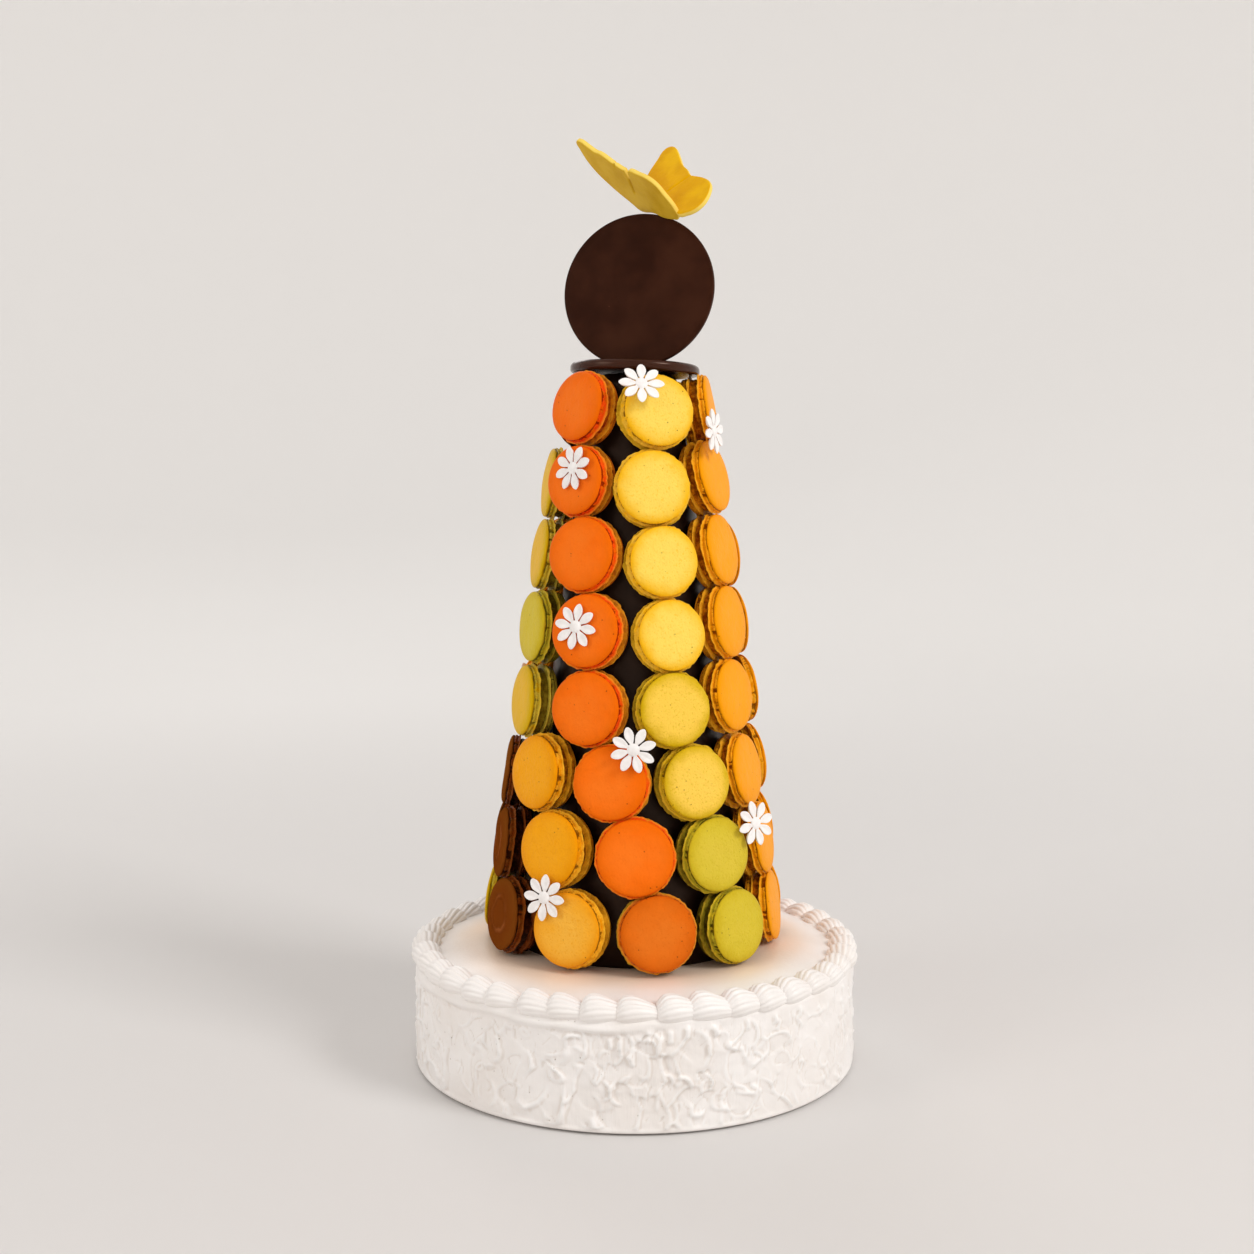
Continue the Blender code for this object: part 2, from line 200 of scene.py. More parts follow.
class Finish:
    """A node material on a Principled shader."""

    def __init__(self, name, **constants):
        self.material = bpy.data.materials.new(name)
        self.material.use_nodes = True
        self.tree = self.material.node_tree
        self.shader = self.tree.nodes["Principled BSDF"]
        self.where = self.node("ShaderNodeTexCoord", output="Object")
        for socket, value in constants.items():
            self.feed(self.shader.inputs[socket.replace("_", " ")], value)

    def feed(self, socket, value):
        if isinstance(value, Value):
            self.tree.links.new(value.socket, socket)
        else:
            socket.default_value = value

    def node(self, kind, settings=None, inputs=None, output=0):
        """A node of a kind, with its settings made first and then its inputs fed."""
        made = self.tree.nodes.new(kind)
        for name, value in (settings or {}).items():
            setattr(made, name, value)
        for name, value in (inputs or {}).items():
            self.feed(made.inputs[name], value)
        return Value(self, made.outputs[output])

    def maths(self, operation, first, second):
        return self.node("ShaderNodeMath", {"operation": operation}, {0: first, 1: second})

    def noise(self, size, detail=2, stretch=(1, 1, 1)):
        """Noise from 0 to 1 with features of about a size in metres, stretched along the axes."""
        spread = {"Vector": self.where, "Scale": tuple(1 / s for s in stretch)}
        where = self.node("ShaderNodeMapping", None, spread)
        return self.node("ShaderNodeTexNoise", None, {"Vector": where, "Scale": 1 / size, "Detail": detail})

    def spots(self, size, reach):
        """1 at the middle of scattered spots, falling to 0 at a share of their spacing."""
        inputs = {"Vector": self.where, "Scale": 1 / size}
        distance = self.node("ShaderNodeTexVoronoi", {"feature": "F1"}, inputs, "Distance")
        return self.ramp(distance, reach, 0)

    def ramp(self, value, low, high):
        """A value turned into 0 at low and 1 at high, held between them."""
        inputs = {"Value": value, "From Min": low, "From Max": high}
        return self.node("ShaderNodeMapRange", {"interpolation_type": "SMOOTHSTEP"}, inputs)

    def attribute(self, name):
        return self.node("ShaderNodeAttribute", {"attribute_name": name}, output="Fac")

    def mix(self, factor, first, second):
        return self.node(
            "ShaderNodeMix", {"data_type": "RGBA"}, {0: factor, 6: first, 7: second}, output=2
        )

    def paint(self, colour=None, roughness=None, relief=None, depth=0.001):
        """Feed what changes over the surface: its colour, its roughness, and a relief of a depth."""
        if colour is not None:
            self.feed(self.shader.inputs["Base Color"], colour)
        if roughness is not None:
            self.feed(self.shader.inputs["Roughness"], roughness)
        if relief is not None:
            bump = self.node("ShaderNodeBump", None, {"Height": relief, "Distance": depth})
            self.feed(self.shader.inputs["Normal"], bump)
        return self.material


def colour(code):
    """A linear colour from its usual six-digit code."""
    parts = [int(code[i : i + 2], 16) / 255 for i in (0, 2, 4)]
    return (*[p / 12.92 if p <= 0.04045 else ((p + 0.055) / 1.055) ** 2.4 for p in parts], 1)


print("white is", colour("FFFFFF"))

# %% [markdown]
# ## Where the macarons sit
#
# The frame has one solid for each macaron that shows, and one for each short stack at the back. A stack
# is read row by row. The rows step out evenly, so two macarons of the frame give the lean of the cone.

# %% Macaron places
ROWS = 8


def azimuth_of(points):
    """Angle round the tower from the front, from the middle of the points' spread."""
    low, high = points.min(0), points.max(0)
    middle = (low + high) / 2
    return math.atan2(middle[0], -middle[1])


def centre_of(node):
    low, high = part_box(node)
    return (low + high) / 2


top_place = centre_of("macaron_1_a")
low_place = centre_of("macaron_8_d")
STEP_OUT = (low_place.xy.length - top_place.xy.length) / (top_place.z - low_place.z)
LEAN = math.atan(STEP_OUT)
ROW_PITCH = (top_place.z - low_place.z) / (ROWS - 1)


def centre_radius(height):
    """Distance of a macaron's centre from the axis of the tower."""
    return top_place.xy.length + (top_place.z - height) * STEP_OUT


def facing(azimuth, lean):
    """Rotation that turns +Z to face outwards at an azimuth, leaning back, with +Y upwards."""
    return Matrix.Rotation(azimuth, 4, "Z") @ Matrix.Rotation(math.pi / 2 - lean, 4, "X")


def from_axis(azimuth, distance, height):
    return Vector((distance * math.sin(azimuth), -distance * math.cos(azimuth), height))


def members(node):
    """The centre of each macaron of a node as (azimuth, distance from the axis, height), downwards."""
    if not node.startswith("stack"):
        centre = centre_of(node)
        return [(math.atan2(centre.x, -centre.y), centre.xy.length, centre.z)]
    points = points_of(frame["nodes"][node])
    low, high = points[:, 2].min(), points[:, 2].max()
    count = round((high - low) / ROW_PITCH)
    places = []
    for index in range(count):
        height = low + (high - low) * (1 - (index + 0.5) / count)
        band = points[abs(points[:, 2] - height) < ROW_PITCH * 0.4]
        places.append((azimuth_of(band), centre_radius(height), height))
    return places


flavour_of = {row["node"]: row["material_slot"] for row in frame["record"]["subparts"]}
clad_nodes = [node for node in sorted(frame["nodes"]) if flavour_of[node].endswith("_macaron")]
places = {node: members(node) for node in clad_nodes}
print(sum(len(found) for found in places.values()), "macarons, leaning", round(math.degrees(LEAN), 2))

# %% [markdown]
# ## The macaron's form
#
# A macaron is two shells with a filling between them. A shell has a smooth dome and, below a crease, its
# foot: a frilled band that the batter threw up as it rose, which ends in a thin lip. One master is turned
# from its profile. The dome, the crease and the lip stay crisp because the rings crowd together there.

# %% Master macaron
MACARON_STEPS = 160
HALF_FRONT = 8.9 * MM
HALF_BACK = 8.5 * MM
FILLING_HIGH = 2.3 * MM  # from the middle plane, as the next one
FOOT_HIGH = 6.0 * MM
DOME_RADIUS = 20.3 * MM

# Radius and distance from the middle plane, in mm: the filling, the lip, the foot and its crease
FOOT_RINGS = (
    (18.3, 0.0), (18.6, 0.8), (18.5, 1.6), (18.0, 2.2), (20.6, 2.4), (21.1, 2.55), (21.1, 2.85),
    (20.6, 3.05), (19.8, 3.35), (19.6, 3.8), (19.95, 4.3), (20.15, 4.8), (19.95, 5.3), (19.4, 5.7),
    (19.0, 6.0),
)
# The dome: radius in mm, and the share of the height that is left above the crease
DOME_RINGS = (
    (19.45, 0.05), (19.75, 0.13), (19.8, 0.25), (19.65, 0.4), (19.15, 0.55), (18.35, 0.69), (17.0, 0.8),
    (15.1, 0.885), (12.4, 0.945), (9.0, 0.98), (5.0, 0.995), (1.5, 1.0),
)


def half_profile(half):
    """The profile from the middle of the filling to the top of one shell."""
    dome = [(radius * MM, FOOT_HIGH + share * (half - FOOT_HIGH)) for radius, share in DOME_RINGS]
    return [(radius * MM, height * MM) for radius, height in FOOT_RINGS] + dome


back_profile = [(radius, -height) for radius, height in reversed(half_profile(HALF_BACK)[1:])]
master = turn("macaron_master", back_profile + half_profile(HALF_FRONT), MACARON_STEPS)
master_points = points_of(master)
master_radius = np.hypot(master_points[:, 0], master_points[:, 1])
master_angle = np.arctan2(master_points[:, 1], master_points[:, 0])
master_height = master_points[:, 2]
print("macaron with", len(master_points), "points")

# %% [markdown]
# ## Frilled feet and uneven domes
#
# Every macaron comes out of the oven a little different: not quite round, its foot frilled and torn, its
# lip chipped, and its two shells not quite in line. A Displace modifier could do that, but it can't tell a
# foot from a dome. So noise that runs round each copy moves its points, by how far each lies in the foot.

# %% Shaping one macaron
STEP_ANGLES = [math.tau * step / MACARON_STEPS for step in range(MACARON_STEPS)]
step_of = np.round(master_angle / math.tau * MACARON_STEPS).astype(int) % MACARON_STEPS
is_front = master_height > 0
is_front_sign = np.where(is_front, 1.0, -1.0)
from_middle = np.abs(master_height)


def near(height, reach):
    """1 for points at a distance from the middle plane, falling to 0 at a reach on both sides."""
    return np.clip(1 - np.abs(from_middle - height * MM) / (reach * MM), 0, 1)


# How much each point belongs to a part of the macaron; each part's height and reach are in mm
in_foot = np.clip(near(4.5, 1.9) * 2.2, 0, 1)
in_lip = np.clip(near(2.75, 0.55) * 1.6, 0, 1)
in_crease = np.clip(near(5.95, 0.9) * 1.4, 0, 1)
in_filling = np.clip(near(0, 2.3) * 2, 0, 1)
in_dome = from_middle > FOOT_HIGH + 0.1 * MM

# How far each kind of unevenness moves a point
OUT_OF_ROUND = 0.45 * MM
FRILL, TEAR, CHIP = 0.65 * MM, 1.2 * MM, 0.5 * MM
FILLING_WAVE, CREASE_WAVE, DOME_SWELL = 0.6 * MM, 0.75 * MM, 0.06 * MM
SHELL_TILT = 0.014  # radians
SHELL_SLIP = 0.25 * MM


def wavering(seed, waves):
    """Noise from -1 to 1 round the front and the back shell, with about this many waves each."""
    reach = waves / math.pi
    rounds = []
    for side in (seed, seed + 50):
        spots = [Vector((reach * math.cos(angle), reach * math.sin(angle), side)) for angle in STEP_ANGLES]
        rounds.append(np.array([noise.noise(spot) for spot in spots]))
    return np.where(is_front, rounds[0][step_of], rounds[1][step_of])


def shaped_points(seed, size, flatness):
    """The master's points as one macaron of its own, and how deep each lies in a groove."""
    frill = 0.9 * wavering(seed + 1, 15) + 0.9 * wavering(seed + 2, 36)
    tear = np.clip(0.8 * wavering(seed + 3, 13) + 0.7 * wavering(seed + 9, 37) - 0.2, 0, 1) * 2.4
    chip = np.clip(wavering(seed + 4, 11) - 0.2, 0, 1) * 2.6 + 1.1 * wavering(seed + 5, 30)
    radius = master_radius + OUT_OF_ROUND * wavering(seed, 2.2) * master_radius / DOME_RADIUS
    radius += in_foot * (FRILL * frill - TEAR * tear) + in_lip * CHIP * chip
    radius += in_filling * FILLING_WAVE * wavering(seed + 6, 7)
    rise = 0.9 * wavering(seed + 7, 9) + 0.5 * wavering(seed + 11, 24)
    height = master_height + is_front_sign * in_lip * MM * rise
    height += is_front_sign * in_crease * CREASE_WAVE * wavering(seed + 8, 12)
    x = radius * np.cos(master_angle)
    y = radius * np.sin(master_angle)
    for _ in range(5):  # broad swells that cross the dome
        heading, pace = dice.uniform(0, math.tau), dice.uniform(90, 330)
        swell = np.sin((x * math.cos(heading) + y * math.sin(heading)) * pace + dice.uniform(0, math.tau))
        height += in_dome * is_front_sign * DOME_SWELL * swell
    points = np.stack([x, y, np.where(in_dome, height * flatness, height)], 1) * size
    nod, sway = dice.gauss(0, SHELL_TILT), dice.gauss(0, SHELL_TILT)
    tilt = Matrix.Rotation(nod, 3, "X") @ Matrix.Rotation(sway, 3, "Y")
    slip = np.array([dice.gauss(0, SHELL_SLIP), dice.gauss(0, SHELL_SLIP), 0])
    front = from_middle * is_front_sign > 1.8 * MM
    points[front] = points[front] @ np.array(tilt).T + slip
    # Deep in a tear or the crease the finish paints shade; on the lip, below zero, it paints a highlight
    groove = in_foot * np.clip(tear * 1.2, 0, 1) - in_lip
    groove += in_crease * np.clip(0.75 + 1.6 * wavering(seed + 10, 7), 0, 1)
    return points, groove


# %% [markdown]
# ## Macaron finishes
#
# Each flavour has five finishes: the front shell, its foot, the filling, and the foot and shell at the
# back. A shell is palest in the middle of its dome and deeper towards its edge, partly in its own tone
# and partly as painted shade towards the rim, so an attribute on the mesh tells how far each point is
# from the macaron's axis. A few domes get a paler middle that is partly a painted highlight. Another
# attribute tells how deep a point of the foot lies, so that shade is painted into the tears and the
# crease, and a highlight onto the lip. The skin has fine pebbles and a few pinholes.

# %% Flavours
# The colours of a flavour: the middle of its dome, the dome's edge, which is partly painted shade, the
# foot, the painted shade in its tears and crease, the filling, and the shell at the back
FLAVOURS = {
    "orange_macaron": ("FD6B06", "F06904", "FF5410", "8A1802", "D06C14", "F08C14"),
    "yellow_macaron": ("FDDA60", "FBBB14", "F0BC38", "805004", "CC9A14", "F0BC28"),
    "apricot_macaron": ("FD9F06", "F59B04", "FFA81C", "843C02", "DC8814", "FFAE20"),
    "amber_macaron": ("FDA80A", "F29906", "FFB628", "7C4404", "D08810", "F6A61C"),
    "terracotta_macaron": ("E6670C", "D45F0A", "D86C20", "5C1C04", "9A6814", "B89A28"),
    "lime_yellow_macaron": ("FDCF50", "D6AE0C", "D0A824", "564004", "907010", "B89820"),
    "green_macaron": ("D6C034", "CDB222", "B4A428", "403606", "6C5C10", "948420"),
    "olive_macaron": ("E8B414", "D6AC0C", "D2B83C", "6E5A10", "A08C28", "C8B440"),
    "brown_macaron": ("763A10", "784012", "723208", "1C0A04", "401C0A", "70340E"),
}
# The glossy flavour has no specular: its gloss is a painted highlight on the swirl of its shells
GLOSSY = ("brown_macaron",)
PEBBLED = ("yellow_macaron", "lime_yellow_macaron", "green_macaron", "amber_macaron")
PALE_AND_HIGHLIGHT_SKIN, PINHOLE, SWIRL_HIGHLIGHT = "FFD468", "5E2C06", "A25E34"
# Colours of the painted highlight on a foot's lip: for most flavours, and for the glossy brown
LIP_HIGHLIGHT, GLOSSY_LIP_HIGHLIGHT = "FFC83C", "96501E"


def shell_finish(name, middle, edge, glossy, pebbled):
    """A baked shell: deeper towards its edge, partly painted shade; mottled, pebbled, pricked by pinholes.
    """
    finish = Finish(name, Specular_IOR_Level=0 if glossy else 0.13, Specular_Tint=colour(middle))
    reach = finish.attribute("reach")
    # Deeper towards the edge of the dome: partly the shell's own tone, partly painted shade
    outwards = reach ** 3
    mottle = finish.noise(8 * MM, 4) - 0.5
    shade = finish.mix(finish.ramp(outwards + mottle * 0.8, 0.05, 1), colour(middle), colour(edge))
    # A paler middle where asked: partly the shell's own tone, partly a painted highlight
    pale_and_highlight = (1 - outwards) * finish.attribute("pale_and_highlight") * finish.ramp(finish.noise(14 * MM), -0.1, 0.7)
    shade = finish.mix(pale_and_highlight, shade, colour(PALE_AND_HIGHLIGHT_SKIN))
    pinholes = finish.spots(4.2 * MM, 0.13) * finish.ramp(finish.noise(11 * MM), 0.46, 0.54)
    shade = finish.mix(pinholes * 0.75, shade, colour(PINHOLE))
    grain = finish.noise(1.1 * MM, 3)
    # Painted shade in the low places between the pebbles
    pebble_shade = finish.ramp(grain, 0.44, 0.32) * (0.5 if pebbled else 0.25)
    shade = finish.mix(pebble_shade, shade, colour(edge))
    scratches = finish.noise(0.9 * MM, stretch=(1, 1.6, 6))
    relief = grain * (0.9 if pebbled else 0.45) + scratches * 0.35 + finish.noise(6 * MM) * 1.6 - pinholes
    # The swirl of the piping is lightened in a painted highlight colour, since glossy shells have no
    # specular
    if glossy:  # the swirl that the piping leaves on a soft shell
        swirl = reach + (finish.noise(9 * MM) - 0.5) * 0.3
        ring = finish.ramp(swirl, 0.34, 0.44) * finish.ramp(swirl, 0.6, 0.46)
        broken = finish.ramp(finish.noise(13 * MM), 0.4, 0.65)
        shade = finish.mix(ring * broken * 0.5, shade, colour(SWIRL_HIGHLIGHT))
        relief = relief * 0.4 + ring * 2
    roughness = finish.noise(4 * MM) * 0.12 + (0.25 if glossy else 0.42)
    return finish.paint(shade, roughness, relief, 0.45 * MM)


def foot_finish(name, foot, tear, edge, glossy):
    """The frilled foot, bubbly, with shade painted into its tears and crease and a highlight onto its lip.
    """
    finish = Finish(name, Specular_IOR_Level=0.2, Specular_Tint=colour(foot))
    bubbles = finish.noise(1.5 * MM, 4)
    groove = finish.attribute("groove")
    shade = finish.mix(finish.ramp(finish.noise(4 * MM), 0.45, 0.65), colour(foot), colour(edge))
    # A painted highlight along the lip
    lip_highlight = finish.ramp(groove, -0.1, -0.9)
    shade = finish.mix(lip_highlight * 0.35, shade, colour(GLOSSY_LIP_HIGHLIGHT if glossy else LIP_HIGHLIGHT))
    # Painted shade in the tears, the crease and the hollows of the bubbles
    tear_shade = finish.ramp(groove + finish.ramp(bubbles, 0.6, 0.3) * 0.35, 0.3, 0.8)
    shade = finish.mix(tear_shade * 0.85, shade, colour(tear))
    return finish.paint(shade, 0.5, bubbles, 0.9 * MM)


def filling_finish(name, filling, tear):
    """The filling: soft and a little shiny, with shade painted in where it is drawn in."""
    finish = Finish(name, Specular_IOR_Level=0.4, Specular_Tint=colour(filling))
    waves = finish.noise(3 * MM, 3)
    # Painted shade, in the colour of the tears, in the filling's low places
    shade = finish.mix(finish.ramp(waves, 0.35, 0.7), colour(tear), colour(filling))
    return finish.paint(shade, 0.38, waves, 1.0 * MM)


macaron_finishes = {}
for flavour, (face, edge, foot, tear, filling, back) in FLAVOURS.items():
    glossy = flavour in GLOSSY
    pebbled = flavour in PEBBLED
    macaron_finishes[flavour] = (
        shell_finish(flavour + "_front", face, edge, glossy, pebbled),
        foot_finish(flavour + "_foot", foot, tear, edge, glossy),
        filling_finish(flavour + "_filling", filling, tear),
        foot_finish(flavour + "_back_foot", back, tear, filling, glossy),
        shell_finish(flavour + "_back", back, filling, glossy, False),
    )
print(len(macaron_finishes), "flavours")

# %% [markdown]
# ## Placing the macarons
#
# The finishes go on by place: a face's height in the macaron says whether it is dome, foot or filling.
# Each copy gets its own mesh with its place in it, so that the patterns of the finishes, which read the
# tower's own coordinates, differ from one macaron to the next.

# %% Place the macarons
FRONT, FRONT_FOOT, FILLING, BACK_FOOT, BACK = range(5)


def layer_of(height):
    """Which finish a face has, by its height from the macaron's middle plane."""
    if height > FOOT_HIGH:
        return FRONT
    if height > FILLING_HIGH:
        return FRONT_FOOT
    if height > -FILLING_HIGH:
        return FILLING
    return BACK_FOOT if height > -FOOT_HIGH else BACK


layers = [layer_of(face.center.z) for face in master.data.polygons]
master.data.polygons.foreach_set("material_index", layers)
paint(master, "reach", master_radius / DOME_RADIUS)
paint(master, "groove", np.zeros(len(master_points)))

# Where one macaron differs: the degrees that it leans back more and is turned round to the right, its
# size beside the others, and how much paler tone and painted highlight the middle of its dome gets
LEAN_MORE = {"macaron_2_c": 4, "macaron_3_c": 4}
TURN_MORE = {"macaron_2_e": 17, "macaron_3_e": 5, "macaron_1_c": -7}
SIZES = {
    "macaron_1_a": 0.965, "macaron_1_b": 0.975, "macaron_2_a": 0.955, "macaron_3_b": 0.965,
    "macaron_4_b": 0.965, "macaron_6_d": 1.012, "macaron_7_a": 1.03, "macaron_7_d": 1.005,
    "macaron_8_a": 1.01,
}
PALE_AND_HIGHLIGHT = {"macaron_8_d": 0.5, "macaron_6_b": 0.3, "macaron_7_b": 0.2, "macaron_8_f": 0, "macaron_7_f": 0}
FLATTER = 0.92  # the domes of the column on the right


def own_copy(piece, name):
    """A copy of a piece that has its own mesh."""
    copy = piece.copy()
    copy.data = piece.data.copy()
    copy.name = name
    bpy.context.collection.objects.link(copy)
    return copy


def place_macaron(node, name, azimuth, distance, height):
    """One macaron of a node, as a copy of the master with its own unevenness; returns its place."""
    piece = own_copy(master, name)
    size = SIZES.get(node) or dice.uniform(0.985, 1.003)
    flatness = FLATTER if node.endswith("_c") else 1
    points, groove = shaped_points(dice.uniform(0, 30), size, flatness)
    lean = LEAN + math.radians(LEAN_MORE.get(node, dice.uniform(-1, 1)))
    turned = facing(azimuth + math.radians(TURN_MORE.get(node, dice.uniform(-1.5, 1.5))), lean)
    spin = Matrix.Rotation(dice.uniform(0, math.tau), 4, "Z")
    place = Matrix.Translation(from_axis(azimuth, distance, height)) @ turned
    rotation = np.array((place @ spin).to_3x3())
    move_points(piece, points @ rotation.T + np.array(place.translation))
    piece.data.attributes["groove"].data.foreach_set("value", groove.astype(np.float32))
    paint(piece, "pale_and_highlight", np.full(len(points), PALE_AND_HIGHLIGHT.get(node, 0.1)))
    for material in macaron_finishes[flavour_of[node]]:
        piece.data.materials.append(material)
    finished(piece, flavour_of[node], None, node)
    return place


macaron_place = {}
for node in clad_nodes:
    for index, (azimuth, distance, height) in enumerate(places[node]):
        name = f"filled_{node}_{index + 1}" if node.startswith("stack") else f"filled_{node}"
        macaron_place[node, index] = place_macaron(node, name, azimuth, distance, height)
bpy.data.objects.remove(master)

# %% [markdown]
# ## Chocolate
#
# Tempered chocolate is nearly black where it is moulded and shows soft, wide reflections. Its gloss is
# tinted by the brown below it, and a few specks and a faint bloom break it up.


# %% Chocolate finishes
def chocolate_finish(name, dark, light, roughness, gloss):
    finish = Finish(name, Specular_IOR_Level=gloss, Specular_Tint=colour("D8B8A4"))
    cloud = finish.ramp(finish.noise(26 * MM, 3), 0.35, 0.7)
    shade = finish.mix(cloud, colour(dark), colour(light))
    # A faint painted highlight where a piece has the rim attribute: only the plate's upper rim has it
    shade = finish.mix(finish.attribute("rim"), shade, colour("381C12"))
    specks = finish.spots(9 * MM, 0.045) * finish.ramp(finish.noise(30 * MM), 0.5, 0.6)
    shade = finish.mix(specks * 0.6, shade, colour("8A5A44"))
    relief = finish.noise(14 * MM, 3)
    return finish.paint(shade, finish.noise(18 * MM) * 0.1 + roughness, relief, 0.25 * MM)


cone_chocolate = chocolate_finish("cone_chocolate", "1E120C", "2A1A12", 0.32, 0.35)
plate_chocolate = chocolate_finish("plate_chocolate", "30160C", "3C1E12", 0.16, 0.35)
sign_chocolate = chocolate_finish("sign_chocolate", "2C130A", "3C1F13", 0.4, 0.1)

# %% [markdown]
# ## Cone, plate and upright disc
#
# The frame's cone has flat sides, which would show in its gloss. A smooth one is turned to the frame's
# size. The plate and the upright disc are turned too, with rounded rims, and then brought to their tilt.
# The upright disc is cut along its foot, where it was melted onto the plate.

# %% Cone
cone_low, cone_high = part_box("chocolate_cone")
cone_foot = cone_high.x
CONE_SHOULDER = 374 * MM
CONE_TOP_RADIUS = 20.3 * MM
SIDE_STEPS, SHOULDER_STEPS = 12, 5

shoulder = cone_foot - (CONE_SHOULDER - cone_low.z) * STEP_OUT
cone_profile = [(cone_foot, cone_low.z)]
for step in range(1, SIDE_STEPS + 1):
    height = cone_low.z + (CONE_SHOULDER - cone_low.z) * step / SIDE_STEPS
    cone_profile.append((cone_foot - (height - cone_low.z) * STEP_OUT, height))
rise = (cone_high.z - CONE_SHOULDER) * 0.94  # its top ends just below the frame's
for step in range(1, SHOULDER_STEPS + 1):
    turned_by = math.radians(90 * step / SHOULDER_STEPS)
    radius = CONE_TOP_RADIUS + (shoulder - CONE_TOP_RADIUS) * math.cos(turned_by)
    cone_profile.append((radius, CONE_SHOULDER + rise * math.sin(turned_by)))
cone = turn("smooth_cone", cone_profile, 96)
finished(cone, "dark_chocolate", cone_chocolate, "chocolate_cone")

# %% Plate
PLATE_RADIUS = 36.6 * MM
PLATE_THICKNESS = 5.6 * MM
PLATE_ROLL = math.radians(1.7)
PLATE_UNDERSIDE = 390.6 * MM
LOW_ROLL, HIGH_ROLL = 1.7 * MM, 2.6 * MM  # how round the rim is at its two edges

plate_profile = [(PLATE_RADIUS * share, 0) for share in (0.3, 0.7, 0.9)]
plate_profile += arc(PLATE_RADIUS - LOW_ROLL, LOW_ROLL, LOW_ROLL, -90, 0, 7)
plate_profile += arc(PLATE_RADIUS - HIGH_ROLL, PLATE_THICKNESS - HIGH_ROLL, HIGH_ROLL, 0, 90, 9)
plate_profile += [(PLATE_RADIUS * share, PLATE_THICKNESS) for share in (0.9, 0.7, 0.3)]
plate = turn("rimmed_plate", plate_profile, 128)
plate_points = points_of(plate)
# Where the plate's finish paints a faint highlight: the upper half of its rim
rim_highlight = np.clip((np.hypot(plate_points[:, 0], plate_points[:, 1]) / PLATE_RADIUS - 0.95) / 0.05, 0, 1)
paint(plate, "rim", rim_highlight * (plate_points[:, 2] > 0.4 * MM))
plate_place = Matrix.Translation((0, 0, PLATE_UNDERSIDE)) @ Matrix.Rotation(PLATE_ROLL, 4, "Y")
plate.data.transform(plate_place)
finished(plate, "dark_chocolate", plate_chocolate, "chocolate_plate")

# %% Upright disc
SIGN_RADIUS = 43.8 * MM
SIGN_THICKNESS = 3.2 * MM
SIGN_CENTRE = Vector((2.2, 0, 437.7)) * MM
SIGN_TURN = math.radians(-16)
SIGN_LEAN = math.radians(8)
SIGN_EDGE = 0.9 * MM

half = SIGN_THICKNESS / 2
sign_profile = [(SIGN_RADIUS * share, -half) for share in (0.2, 0.6, 0.9)]
sign_profile += arc(SIGN_RADIUS - SIGN_EDGE, SIGN_EDGE - half, SIGN_EDGE, -90, 0, 5)
sign_profile += arc(SIGN_RADIUS - SIGN_EDGE, half - SIGN_EDGE, SIGN_EDGE, 0, 90, 5)
sign_profile += [(SIGN_RADIUS * share, half) for share in (0.9, 0.6, 0.2)]
sign = turn("upright_disc", sign_profile, 160)
sign.data.transform(Matrix.Translation(SIGN_CENTRE) @ facing(SIGN_TURN, SIGN_LEAN))
bpy.ops.object.mode_set(mode="EDIT")
bpy.ops.mesh.select_all(action="SELECT")
seat = plate_place @ Vector((0, 0, PLATE_THICKNESS))
upwards = plate_place.to_3x3() @ Vector((0, 0, 1))
bpy.ops.mesh.bisect(plane_co=seat, plane_no=upwards, use_fill=True, clear_inner=True)
bpy.ops.object.mode_set(mode="OBJECT")
bpy.ops.object.shade_smooth_by_angle(angle=math.radians(35))
finished(sign, "dark_chocolate", sign_chocolate, "chocolate_sign")

# %% [markdown]
# ## Frosting finish
#
# Buttercream is a warm white. Its knife marks are real relief in the mesh, and the material paints shade
# into their hollows and a highlight onto their crests. On the top near the tower it paints the warm
# reflection of the macarons and the shade of the tower, reaching further out on the left. The finest
# things are left to the material alone: pinpricks, grain and faint streaks.

# %% Frosting finish
frosting = Finish("frosting", Specular_IOR_Level=0.5)
patches = frosting.ramp(frosting.noise(35 * MM, 3), 0.35, 0.7)
cream = frosting.mix(patches, colour("F9F5F2"), colour("F3EDE8"))
# Painted warm reflection of the macarons and painted shade of the tower, on the top near it
cream = frosting.mix(frosting.attribute("painted_reflection_and_shade"), cream, colour("F2D9C2"))
hollow = frosting.attribute("hollow")
# Painted shade in the hollows of the knife marks and a painted highlight on their crests
cream = frosting.mix(frosting.ramp(hollow, 0.2, 1.2) * 0.3, cream, colour("D6C8BA"))
cream = frosting.mix(frosting.ramp(hollow, -0.1, -1) * 0.3, cream, colour("FFFFFF"))
pricks = frosting.spots(4.6 * MM, 0.13) * frosting.ramp(frosting.noise(14 * MM), 0.46, 0.54)
pricks = pricks * frosting.attribute("pitted")
cream = frosting.mix(pricks * 0.8, cream, colour("94806E"))
streaks = frosting.noise(1.2 * MM, stretch=(1, 1, 9)) * (frosting.attribute("pitted") + 0.35)
fine = frosting.noise(2.6 * MM, 3)
frosting.paint(cream, frosting.noise(7 * MM) * 0.2 + 0.3, streaks * 0.5 + fine * 0.4 - pricks, 0.35 * MM)

# %% [markdown]
# ## The cake
#
# The side was spread with a palette knife. It could be made from noise alone, but noise has no edges,
# and a knife leaves pressed facets with a ridge round them. So marks are laid over each other one by
# one, each wiping out what is below it, on a grid of about one millimetre.

# %% Cake body
CAKE_RADIUS = 126.6 * MM
SIDE_RADIUS = CAKE_RADIUS - 0.4 * MM  # before the marks are pressed into it
SIDE_LOW, SIDE_TOP = 3.0 * MM, 57.2 * MM
SIDE_RINGS = 74
CAKE_STEPS = 900
